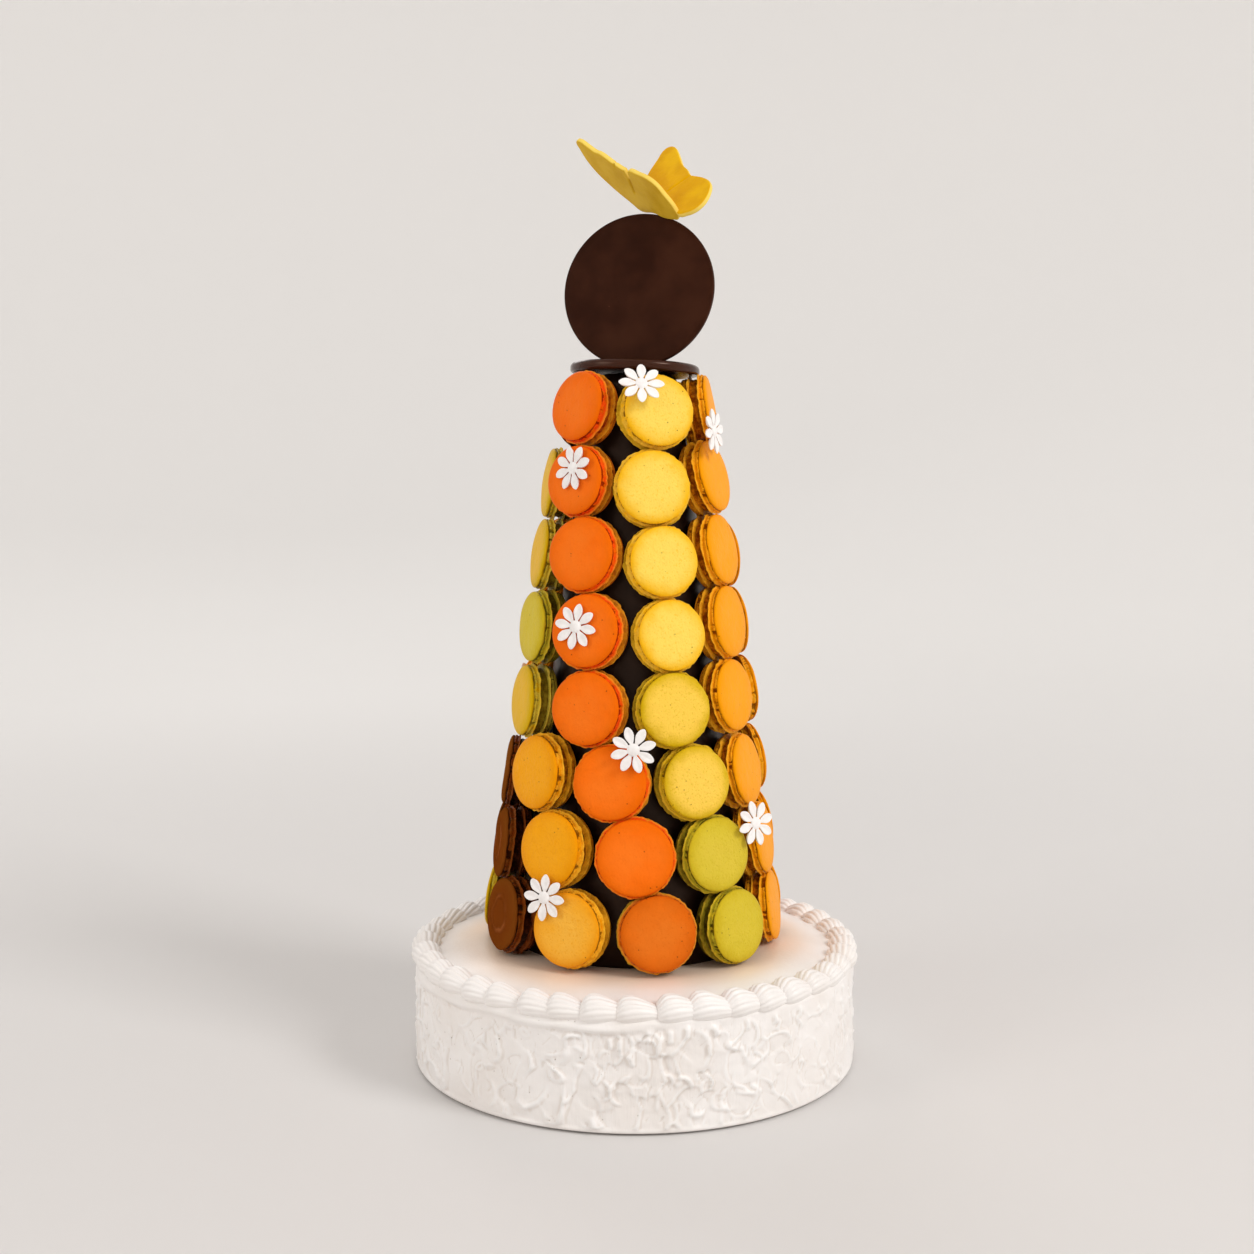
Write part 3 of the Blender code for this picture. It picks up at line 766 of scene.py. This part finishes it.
# Radius and height in mm: the foot, below the side, and the top, from its rounded edge inwards
CAKE_FOOT = ((124.6, 0.0), (126.0, 0.35), (126.7, 1.3), (126.3, 2.2))
CAKE_TOP = (
    (124.6, 59.6), (122.0, 62.0), (117.5, 62.9), (112.5, 63.6), (107.0, 64.6), (101.0, 65.7),
    (95.0, 66.8), (88.0, 67.5), (80.0, 67.6), (70.0, 67.6), (30.0, 67.6),
)

cake_profile = [(radius * MM, height * MM) for radius, height in CAKE_FOOT]
for ring in range(SIDE_RINGS + 1):
    cake_profile.append((SIDE_RADIUS, SIDE_LOW + (SIDE_TOP - SIDE_LOW) * ring / SIDE_RINGS))
cake_profile += [(radius * MM, height * MM) for radius, height in CAKE_TOP]
cake = turn("spread_cake", cake_profile, CAKE_STEPS)
cake_points = points_of(cake)
print("cake of", len(cake_points), "points")


# %% Knife marks
def smooth(value, low, high):
    """0 below low, 1 above high, and an even curve between."""
    share = np.clip((value - low) / (high - low), 0, 1)
    return share * share * (3 - 2 * share)


ROUND = math.tau * CAKE_RADIUS


def across(place, centre):
    """Distance along the side of the cake, the short way round."""
    return (place - centre + ROUND / 2) % ROUND - ROUND / 2


angle_of = np.arctan2(cake_points[:, 0], -cake_points[:, 1])
along = angle_of * CAKE_RADIUS
upright = cake_points[:, 2]
degrees = np.degrees(angle_of)
relief = np.zeros(len(cake_points))


def press(relief, at, height, length, width, turned_by, bend, depth, ridge):
    """Lay one knife mark: a tilted facet inside a bent oval, with a ridge where the knife left it."""
    s = across(along, at)
    z = upright - height
    lengthways = (s * math.cos(turned_by) + z * math.sin(turned_by)) / length
    sideways = (-s * math.sin(turned_by) + z * math.cos(turned_by)) / width - bend * lengthways**2
    reach = np.hypot(lengthways, sideways)
    inside = 1 - smooth(reach, 0.8, 1.03)
    facet = depth * (0.7 * lengthways + 0.5 * sideways - 0.35)
    leaving = np.clip(0.75 * lengthways + 0.65 * sideways, 0, 1)
    rim = ridge * np.exp(-(((reach - 0.95) / 0.17) ** 2)) * leaving
    return relief * (1 - inside) + facet * inside + rim


def drag(at, height, length, width, turned_by, bend):
    """One thin bent ridge, as the tip of the knife drags it up: 1 along its line and 0 beside it."""
    s = across(along, at)
    z = upright - height
    lengthways = (s * math.cos(turned_by) + z * math.sin(turned_by)) / length
    sideways = (-s * math.sin(turned_by) + z * math.cos(turned_by)) - bend * length * lengthways**2
    return np.exp(-((sideways / width) ** 2)) * (1 - smooth(abs(lengthways), 0.45, 1.0))


def boldness(degree):
    """How strong the knife marks are round the cake: strongest in front and faint to the right."""
    bold = 0.9 + 0.25 * smooth(degree, -36, -12) - 0.55 * smooth(degree, 14, 46)
    behind = 0.6 + 0.3 * np.cos(np.radians(degree) * 5)
    beyond = smooth(abs(degree), 78, 100)
    return bold * (1 - beyond) + behind * beyond


MARKS = 640
for _ in range(MARKS):
    degree = dice.uniform(-180, 180)
    bold = float(boldness(np.float64(degree)))
    size = dice.uniform(0.6, 1.6) * (1.4 if degree < -22 else 1)
    relief = press(
        relief,
        at=math.radians(degree) * CAKE_RADIUS,
        height=dice.uniform(1, 55) * MM,
        length=8.5 * MM * size,
        width=dice.uniform(3.4, 6) * MM * size,
        turned_by=math.radians(dice.gauss(-52 if degree > 20 else -78, 36)),
        bend=dice.uniform(-0.8, 0.8),
        depth=0.9 * MM * bold * dice.uniform(0.4, 1.2),
        ridge=1.2 * MM * bold * dice.uniform(0.1, 1.3),
    )
DRAGS = 330
for _ in range(DRAGS):
    degree = dice.uniform(-180, 180)
    bold = float(boldness(np.float64(degree)))
    relief += dice.choice((1, 1, 1, -0.6)) * bold * dice.uniform(0.3, 1.5) * MM * drag(
        at=math.radians(degree) * CAKE_RADIUS,
        height=dice.uniform(2, 54) * MM,
        length=dice.uniform(3, 8.5) * MM,
        width=dice.uniform(0.9, 1.9) * MM,
        turned_by=math.radians(dice.gauss(-55 if degree > 20 else -75, 34)),
        bend=dice.uniform(-0.9, 0.9),
    )
CRACKS = 260
for _ in range(CRACKS):
    relief -= dice.uniform(0.15, 0.5) * MM * drag(
        at=dice.uniform(-0.5, 0.5) * ROUND,
        height=dice.uniform(2, 54) * MM,
        length=dice.uniform(2, 6) * MM,
        width=0.5 * MM,
        turned_by=dice.uniform(-2.4, -0.6),
        bend=dice.uniform(-0.5, 0.5),
    )
# Drips that hang from the shells in front: degrees round from the front, and height in mm
for degree, height in ((3, 51), (5.5, 47), (8, 50), (12, 52), (19, 52), (27, 53), (35, 53), (43, 53)):
    relief += 1.6 * MM * drag(math.radians(degree) * CAKE_RADIUS, height * MM, 4.5 * MM, 1.5 * MM, 1.6, 0.1)
print("relief from", round(relief.min() / MM, 2), "to", round(relief.max() / MM, 2), "mm")

# %% [markdown]
# The marks end below the piped shells, where the spread frosting rolls over the top edge in a smooth
# ledge, and above the thin lip that it leaves on the surface below. Dabs of finer noise roughen them.

# %% Relief onto the cake
def noise_at(points, pace):
    """Noise from -1 to 1 at each point, with about this many waves in a metre."""
    return np.array([noise.noise(Vector(point) * pace) for point in points])


DEEPEST, HIGHEST = -1.4 * MM, 2.1 * MM  # how far the side may go in and out
FLAT_TOP_LOW = 60 * MM
UNDER_SHELLS = 118 * MM  # radius from which the shells hide the top

bold_here = boldness(degrees)
rough = noise_at(cake_points, 260)
sway = noise_at(cake_points, 26)
ledge_strength = (1 - smooth(degrees, -10, 12)) * smooth(degrees, -85, -60)
marks_end = (54.5 - 2.6 * ledge_strength) * MM
on_side = smooth(upright, 1.8 * MM, 3.6 * MM) * (1 - smooth(upright - marks_end, -1.5 * MM, 2.0 * MM))
ledge_height = (55.0 + 0.9 * np.sin(along / (17 * MM)) + 0.5 * np.sin(along / (7.3 * MM))) * MM
ledge = np.exp(-(np.abs((upright - ledge_height) / (2.2 * MM)) ** 3)) * ledge_strength
out = (relief + rough * (0.1 + 0.1 * bold_here) * MM + sway * 0.5 * MM) * on_side + ledge * 1.7 * MM
radial = np.hypot(cake_points[:, 0], cake_points[:, 1])
is_side = (radial > 124 * MM) & (upright < 59 * MM)
is_top = upright > FLAT_TOP_LOW
grown = radial + np.where(is_side, np.clip(out, DEEPEST, HIGHEST), 0)
cake_points[:, 0] *= grown / radial
cake_points[:, 1] *= grown / radial
top_sway = noise_at(cake_points, 45) * 0.3 * MM
cake_points[:, 2] += np.where(is_top & (radial < UNDER_SHELLS), top_sway, 0)
move_points(cake, cake_points)

# A hollow is a point that lies deeper than the mean of the points around it
order = np.lexsort((angle_of, np.arange(len(out)) // CAKE_STEPS))  # ring by ring, then round each ring
grid = out[order].reshape(-1, CAKE_STEPS)
around = sum(np.roll(grid, (up, side), (0, 1)) for up in (-1, 0, 1) for side in (-1, 0, 1)) / 9
hollow_here = np.empty(len(out))
hollow_here[order] = (around - grid).ravel() / (0.12 * MM)
# Read by the frosting, which paints shade in the hollows and a highlight on the crests
paint(cake, "hollow", hollow_here * is_side * on_side)
# Where the top gets the painted reflection and shade near the tower, reaching further out on the left
painted_reflection_reach = (108 + 9 * smooth(-degrees, 8, 40)) * MM
paint(cake, "painted_reflection_and_shade", (1 - smooth(radial, 88 * MM, painted_reflection_reach)) * is_top)
paint(cake, "pitted", (0.15 + 0.85 * (1 - smooth(degrees, -30, 30))) * is_side)
finished(cake, "frosting", frosting.material, "cake")

# %% [markdown]
# ## Piped shells
#
# A shell is squeezed from a star tip: the bag stays still while the cream swells, then moves on and thins
# it to a tail, and the next shell starts on that tail. One shell is extruded ring by ring from a star,
# along a low arc. The star's ridges then run over the crest as they do in cream.

# %% One shell
SHELLS = 42
RIDGES = 14
SHELL_LENGTH = 27 * MM
SHELL_HALF_WIDTH, SHELL_HALF_HEIGHT = 8.5 * MM, 7.6 * MM
STAR_STEPS = RIDGES * 6
STATIONS = 20
# Share of the shell's length, and how full it is there
FULLNESS = (
    (0, 0.12), (0.02, 0.42), (0.06, 0.67), (0.12, 0.86), (0.19, 0.97), (0.27, 1.0), (0.37, 0.98),
    (0.5, 0.88), (0.62, 0.76), (0.72, 0.66), (0.85, 0.48), (1.0, 0.28),
)
TWIST = 0.55  # how far the ridges wind up and over the shell, in radians

deselect()
bpy.ops.mesh.primitive_circle_add(
    vertices=STAR_STEPS, radius=1 * MM, fill_type="NGON", rotation=(0, math.pi / 2, 0)
)
shell = bpy.context.object
shell.name = "piped_shell"
bpy.ops.object.transform_apply(location=True, rotation=True, scale=True)
bpy.ops.object.mode_set(mode="EDIT")
onwards = (SHELL_LENGTH / (STATIONS - 1), 0, 0)
for _ in range(STATIONS - 1):
    bpy.ops.mesh.extrude_region_move(TRANSFORM_OT_translate={"value": onwards})
bpy.ops.mesh.select_all(action="SELECT")
bpy.ops.mesh.normals_make_consistent(inside=False)
bpy.ops.object.mode_set(mode="OBJECT")
bpy.ops.object.shade_smooth()

shell_points = points_of(shell)
share = np.clip(shell_points[:, 0] / SHELL_LENGTH, 0, 1)
share = share**1.25  # stations crowd together at the round start
full = np.interp(share, [spot[0] for spot in FULLNESS], [spot[1] for spot in FULLNESS])
angle = np.arctan2(shell_points[:, 2], shell_points[:, 1])
on_crest = 0.35 + 0.65 * smooth(np.sin(angle), -0.2, 0.6)  # the ridges are pressed flat near the cake
ridged = 1 - 0.115 * on_crest * (1 - np.abs(np.cos(angle * RIDGES / 2))) ** 1.2
angle -= TWIST * (share - 0.3)
shell_points[:, 0] = SHELL_LENGTH * (share - 0.36)
shell_points[:, 1] = SHELL_HALF_WIDTH * full**0.8 * ridged * np.cos(angle)
shell_points[:, 2] = SHELL_HALF_HEIGHT * full * (ridged * np.sin(angle) + 0.62)
move_points(shell, shell_points)
print("shell of", len(shell_points), "points")

# %% [markdown]
# The ring is piped anticlockwise seen from above, each shell a little different in size and turn. All of
# them are one piece, as cream is.

# %% Ring of shells
BORDER_RADIUS = 120.6 * MM
BORDER_HEIGHT = 58.0 * MM


def joined(parts, name):
    """Several objects made into one."""
    deselect()
    for part in parts:
        part.select_set(True)
    bpy.context.view_layer.objects.active = parts[0]
    bpy.ops.object.join()
    whole = bpy.context.object
    whole.name = name
    return whole


shells = []
to_edge = Matrix.Translation((0, -BORDER_RADIUS, BORDER_HEIGHT))
for count in range(SHELLS):
    azimuth = math.tau * (count + dice.uniform(-0.1, 0.1)) / SHELLS
    size = dice.uniform(0.94, 1.05)
    swing, roll = dice.uniform(-0.12, 0.12), dice.uniform(-0.15, 0.15)
    wobble = Matrix.Rotation(swing, 4, "Z") @ Matrix.Rotation(roll, 4, "X")
    piped = own_copy(shell, f"piped_shell_{count}")
    piped.data.transform(Matrix.Rotation(azimuth, 4, "Z") @ to_edge @ wobble @ Matrix.Scale(size, 4))
    shells.append(piped)
bpy.data.objects.remove(shell)
border = joined(shells, "piped_border")
finished(border, "frosting", frosting.material, "shell_border")

# %% [markdown]
# ## Fondant finishes
#
# Fondant is smooth and matt, with a soft sheen. The butterfly's yellow is rubbed in unevenly, and its
# light is painted in too: a duller, shaded yellow on the under faces, a stronger, lit one on the upper
# faces, and a painted highlight along the edges. The daisies are plain white with a slight grain from
# the cutter.

# %% Fondant finishes
yellow_fondant = Finish("yellow_fondant", Specular_IOR_Level=0.1, Specular_Tint=colour("FFDC70"))
rubbed = yellow_fondant.ramp(yellow_fondant.noise(13 * MM, 3), 0.3, 0.7)
# Painted light and shade: a shaded yellow for the under faces, a lit one for the upper faces
under = yellow_fondant.mix(rubbed, colour("DCB234"), colour("CEA022"))
lit_upper = yellow_fondant.mix(rubbed, colour("F0BC08"), colour("E2A602"))
yellow = yellow_fondant.mix(yellow_fondant.attribute("lit_upper"), under, lit_upper)
# A painted highlight along the edges
yellow = yellow_fondant.mix(yellow_fondant.attribute("edge"), yellow, colour("F8D866"))
yellow_fondant.paint(yellow, 0.5, yellow_fondant.noise(2.5 * MM, 3), 0.2 * MM)

white_fondant = Finish("white_fondant", Specular_IOR_Level=0.3)
dusted = white_fondant.ramp(white_fondant.noise(4 * MM, 3), 0.3, 0.7)
white = white_fondant.mix(dusted, colour("FBF8F6"), colour("F4EFEC"))
white_fondant.paint(white, 0.55, white_fondant.noise(0.8 * MM), 0.12 * MM)

# %% [markdown]
# ## Daisies
#
# A daisy is pressed from rolled fondant with a plunger cutter: eight petals, each a cupped oval, and a
# round heart. One petal is shaped from a sphere and copied round, and the heart is another sphere.

# %% One daisy
DAISY_RADIUS = 12.5 * MM
PETALS = 8
PETAL_ROOT = 2.4 * MM  # from the middle of the daisy
PETAL_HALF_LENGTH = (DAISY_RADIUS - PETAL_ROOT) / 2
PETAL_HALF_WIDTH = 2.65 * MM


def ball(name, place, size, segments, rings):
    """A sphere squashed to a size, at a place."""
    deselect()
    bpy.ops.mesh.primitive_uv_sphere_add(segments=segments, ring_count=rings, radius=1, location=place)
    made = bpy.context.object
    made.name = name
    made.scale = size
    bpy.ops.object.transform_apply(location=True, rotation=True, scale=True)
    bpy.ops.object.shade_smooth()
    return made


petal = ball("petal", (0, 0, 0), (PETAL_HALF_LENGTH, PETAL_HALF_WIDTH, 0.75 * MM), 20, 14)
petal_points = points_of(petal)
share = petal_points[:, 0] / PETAL_HALF_LENGTH
side = petal_points[:, 1] * (0.56 + 0.44 * smooth(share, -1, 0.2) - 0.08 * smooth(share, 0.4, 1))
cup = (np.abs(side) / PETAL_HALF_WIDTH) ** 1.3 * MM * (petal_points[:, 2] > -0.2 * MM)
petal_points[:, 0] += PETAL_ROOT + PETAL_HALF_LENGTH
petal_points[:, 1] = side
petal_points[:, 2] += cup + 0.5 * MM * share**2 + 0.7 * MM
move_points(petal, petal_points)

parts = []
for count in range(PETALS):
    copy = own_copy(petal, f"petal_{count}")
    copy.data.transform(Matrix.Rotation(math.tau * count / PETALS, 4, "Z"))
    parts.append(copy)
bpy.data.objects.remove(petal)
parts.append(ball("heart", (0, 0, 1.1 * MM), (3.5 * MM, 3.5 * MM, 1.3 * MM), 24, 12))
daisy = joined(parts, "daisy")
print("daisy of", len(daisy.data.vertices), "points")


# %% [markdown]
# The frame's daisies are flat stars. Their thinnest direction is the way they face, and the corners of
# their petals say how they are turned, so each fondant daisy is laid on the star that it stands for.

# %% Lay the daisies
def star_place(node):
    """Where a flat star lies: its middle on its underside, Z the way it faces, X along a petal."""
    points = points_of(frame["nodes"][node])
    low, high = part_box(node)
    spread = points - points.mean(0)
    normal = Vector(np.linalg.svd(spread, full_matrices=False)[2][2])
    outwards = Vector((low.x + high.x, low.y + high.y, 0))
    if normal.dot(outwards) < 0:
        normal.negate()
    levels = points @ np.array(normal)
    under = points[levels < levels.min() + 0.2 * MM]
    middle = Vector(under.mean(0))
    for _ in range(4):  # the mean of the farthest corners settles on the middle
        reach = np.linalg.norm(under - np.array(middle), axis=1)
        middle = Vector(under[reach > reach.max() * 0.9].mean(0))
    side = normal.orthogonal().normalized()
    up = normal.cross(side)
    away = under - np.array(middle)
    corners = away[np.linalg.norm(away, axis=1) > 0.9 * np.linalg.norm(away, axis=1).max()]
    angles = np.arctan2(corners @ np.array(up), corners @ np.array(side))
    spin = np.angle(np.exp(1j * PETALS * angles).mean()) / PETALS
    along_petal = side * math.cos(spin) + up * math.sin(spin)
    rows = Matrix((along_petal, normal.cross(along_petal), normal)).transposed().to_4x4()
    return Matrix.Translation(middle) @ rows


def lay_daisy(name, place, *nodes):
    laid = own_copy(daisy, name)
    laid.data.transform(place)
    finished(laid, "white_fondant", white_fondant.material, *nodes)


for number in range(1, 8):
    lay_daisy(f"fondant_daisy_{number}", star_place(f"daisy_{number}"), f"daisy_{number}")

# %% [markdown]
# The back, which no picture shows, is decorated like the front: four more daisies lie on macarons there.

# %% Daisies at the back
BACK_DAISIES = (
    (("stack_j1", 0), 4, -6), (("stack_i1", 1), -3, 5), (("stack_k2", 2), 5, 4), (("stack_j3", 1), -6, -3),
)
for number, (member, right, up) in enumerate(BACK_DAISIES, start=8):
    lift = Matrix.Translation(Vector((right, up, 0)) * MM + Vector((0, 0, HALF_FRONT + 0.1 * MM)))
    centre = macaron_place[member]
    lay_daisy(f"fondant_daisy_{number}", centre @ lift)
bpy.data.objects.remove(daisy)

# %% [markdown]
# ## Butterfly
#
# The butterfly is two wings cut from rolled fondant and set up in a V. A wing is drawn as a curve, given
# thickness and rounded edges, and turned into an even, fine mesh, so that it can then be cupped and
# creased by moving its points.

# %% Wing outline
TAIL = Vector((23.5, -13, 475.9)) * MM
SPINE = Vector((-0.622, 0.740, 0.257))
LEFT_OUT = Vector((-0.448, -0.605, 0.658))
RIGHT_OUT = Vector((0.579, 0.213, 0.787))
WING_THICKNESS = 3 * MM
WING_EDGE = 0.8 * MM
# Each outline in mm along the spine from the tail, and out from it, and its corners. The left wing's
# has its torn slit in it.
LEFT_OUTLINE = (
    (2, -2.8), (-1, 1), (-1, 3.5), (-0.5, 8.5), (2, 15), (4.5, 21), (9.5, 25.3), (17, 27.8), (22.5, 29.2),
    (24.8, 28.2), (27.2, 19), (26.8, 28.9), (28.5, 29.4), (34.5, 33), (42.5, 38.5), (46, 39.2),
    (51.5, 43), (55.5, 45.5), (59, 45), (59.5, 39), (57.5, 28), (49, 15), (38, 4), (33, -0.8),
    (20, -1), (15, -2.8),
)
LEFT_CORNERS = ((24.8, 28.2), (27.2, 19), (26.8, 28.9), (2, -2.8))
RIGHT_OUTLINE = (
    (0, 1), (-3.5, 0), (-7, 1.5), (-11.5, 4.5), (-14, 9.5), (-14, 14.5), (-12.5, 19), (-10, 23),
    (-6.5, 25.5), (-0.5, 27), (5, 27.3), (10, 27.2), (13, 28.5), (16, 30.5), (23, 33.5),
    (28.5, 37.5), (34, 41.5), (38, 44), (42, 45), (45, 44), (47, 41), (46.5, 34.5), (45, 22.5),
    (39, 9), (32, 1),
)
RIGHT_CORNERS = ((10, 27.2), (0, 1), (32, 1))


def flat_wing(name, outline, corners):
    """The outline as a filled curve with thickness and round edges, remeshed evenly."""
    drawn = bpy.data.curves.new(name, "CURVE")
    drawn.dimensions = "2D"
    drawn.fill_mode = "BOTH"
    drawn.extrude = WING_THICKNESS / 2 - WING_EDGE
    drawn.bevel_depth = WING_EDGE
    drawn.bevel_resolution = 3
    drawn.offset = -WING_EDGE
    spline = drawn.splines.new("BEZIER")
    spline.bezier_points.add(len(outline) - 1)
    spline.use_cyclic_u = True
    spline.resolution_u = 10
    for bend, spot in zip(spline.bezier_points, outline):
        bend.co = (spot[0] * MM, spot[1] * MM, 0)
        kind = "VECTOR" if spot in corners else "AUTO"
        bend.handle_left_type = bend.handle_right_type = kind
    drawing = bpy.data.objects.new(name, drawn)
    bpy.context.collection.objects.link(drawing)
    deselect()
    drawing.select_set(True)
    bpy.context.view_layer.objects.active = drawing
    bpy.ops.object.convert(target="MESH")
    wing = bpy.context.object
    remesh = wing.modifiers.new("even", "REMESH")
    remesh.mode = "VOXEL"
    remesh.voxel_size = 0.45 * MM
    bpy.ops.object.modifier_apply(modifier=remesh.name)
    soften = wing.modifiers.new("soften", "SMOOTH")
    soften.factor = 0.5
    soften.iterations = 4
    bpy.ops.object.modifier_apply(modifier=soften.name)
    return wing


def crease(points, start, end, width, depth, face):
    """Press a groove along a line, given in mm, into one face of the flat wing."""
    start, end = Vector(start) * MM, Vector(end) * MM
    line = end - start
    away = points[:, :2] - np.array(start)
    share = np.clip(away @ np.array(line) / line.length_squared, 0, 1)
    distance = np.linalg.norm(away - share[:, None] * np.array(line), axis=1)
    groove = depth * np.exp(-((distance / width) ** 2))
    points[:, 2] -= np.where(points[:, 2] * face > 0, groove * face, 0)


# %% [markdown]
# A wing is cupped like a hand: its far edges bend inwards. The crease between its two lobes runs from the
# notch to the body, on both faces. On the left wing the notch is torn a little further in, as a slit.

# %% Both wings
CUP = 0.8 * MM


def make_wing(name, out, outline, corners, creases):
    """One wing, its upper face towards the other wing."""
    wing = flat_wing(name, outline, corners)
    points = points_of(wing)
    steepness = np.array([vertex.normal.z for vertex in wing.data.vertices])
    # Which faces the finish paints in lit yellow, and where the edges get a painted highlight
    paint(wing, "lit_upper", smooth(steepness, -0.2, 0.5))
    paint(wing, "edge", 1 - smooth(abs(steepness), 0.35, 0.9))
    for start, end, width, depth, face in creases:
        crease(points, start, end, width * MM, depth * MM, face)
    out_share = np.clip(points[:, 1] / (45 * MM), 0, 1)
    points[:, 2] += WING_THICKNESS / 2 + CUP * (out_share**2 - out_share)
    normal = SPINE.cross(out).normalized()
    if normal.z < 0:
        normal.negate()
    rows = Matrix((SPINE, out, normal)).transposed().to_4x4()
    move_points(wing, points)
    wing.data.transform(Matrix.Translation(TAIL) @ rows)
    if rows.to_3x3().determinant() < 0:
        wing.data.flip_normals()
    deselect()
    wing.select_set(True)
    bpy.ops.object.shade_smooth()
    return wing


# Each crease: from, to, width, depth, and which face it is pressed into
LEFT_CREASES = (
    ((26, 26), (28.4, 13.2), 0.55, 1.5, -1), ((26, 26), (28.4, 13.2), 0.6, 0.5, 1),
    ((34, 34), (33.6, 30.5), 0.5, 0.7, -1), ((34, 34), (33.6, 30.5), 0.5, 0.7, 1),
)
RIGHT_CREASES = (((10, 28), (18.5, 14), 0.6, 0.6, 1), ((10, 28), (18.5, 14), 0.6, 0.5, -1))
left_wing = make_wing("left_wing", LEFT_OUT, LEFT_OUTLINE, LEFT_CORNERS, LEFT_CREASES)
right_wing = make_wing("right_wing", RIGHT_OUT, RIGHT_OUTLINE, RIGHT_CORNERS, RIGHT_CREASES)
finished(left_wing, "yellow_fondant", yellow_fondant.material, "butterfly")
finished(right_wing, "yellow_fondant", yellow_fondant.material, "butterfly")

# %% [markdown]
# ## Floor and light
#
# The tower stands in a plain pale room without corners: the floor curves up into a wall all round, so no
# horizon shows from any side. A large soft lamp at the upper right gives the light its direction, a
# weaker one at the left fills the shadows, and the open sky above evens them out.

# %% Floor
FLOOR_RADIUS = 2.0  # in metres, as the next ones
WALL_ROUND = 1.4
WALL_TOP = 3.4
FLOOR_GAP = 0.001  # between the floor and the foot of the cake

floor_profile = [(radius, -FLOOR_GAP) for radius in (0.02, 0.4, 1.2, FLOOR_RADIUS)]
floor_profile += arc(FLOOR_RADIUS, WALL_ROUND, WALL_ROUND + FLOOR_GAP, -90, 0, 10)[1:]
floor_profile += [(FLOOR_RADIUS + WALL_ROUND + FLOOR_GAP, WALL_TOP)]
floor = turn("floor", floor_profile, 128)
bpy.ops.object.mode_set(mode="EDIT")
bpy.ops.mesh.select_all(action="SELECT")
bpy.ops.mesh.bisect(plane_co=(0, 0, WALL_TOP - 0.01), plane_no=(0, 0, 1), clear_outer=True)
bpy.ops.object.mode_set(mode="OBJECT")
plaster = Finish("plaster", Roughness=0.8, Specular_IOR_Level=0.1)
away = plaster.node("ShaderNodeVectorMath", {"operation": "LENGTH"}, {0: plaster.where}, "Value")
plaster.paint(plaster.mix(plaster.ramp(away, 0.3, 2.6), colour("DEDBD9"), colour("F8F6F4")))
floor.data.materials.append(plaster.material)


# %% Lights
def lamp(name, place, target, size, power, tint):
    """A square soft light at a place, facing a target."""
    bpy.ops.object.light_add(type="AREA", location=place)
    made = bpy.context.object
    made.name = name
    made.rotation_euler = (Vector(target) - Vector(place)).to_track_quat("-Z", "Y").to_euler()
    made.data.size = size
    made.data.energy = power
    made.data.color = tint
    return made


lamp("key", (1.9, -1.3, 1.9), (0, 0, 0.25), 0.9, 33, (1, 0.995, 0.99))
lamp("fill", (-1.8, -1.1, 1.1), (0, 0, 0.25), 0.9, 8, (1, 0.97, 0.94))
lamp("back", (-0.6, 1.8, 1.6), (0, 0, 0.3), 1.0, 6, (1, 1, 1))
world = bpy.data.worlds.new("sky")
world.use_nodes = True
world.node_tree.nodes["Background"].inputs["Color"].default_value = (1, 0.985, 0.97, 1)
world.node_tree.nodes["Background"].inputs["Strength"].default_value = 0.64
bpy.context.scene.world = world
bpy.context.scene.view_settings.view_transform = "Standard"
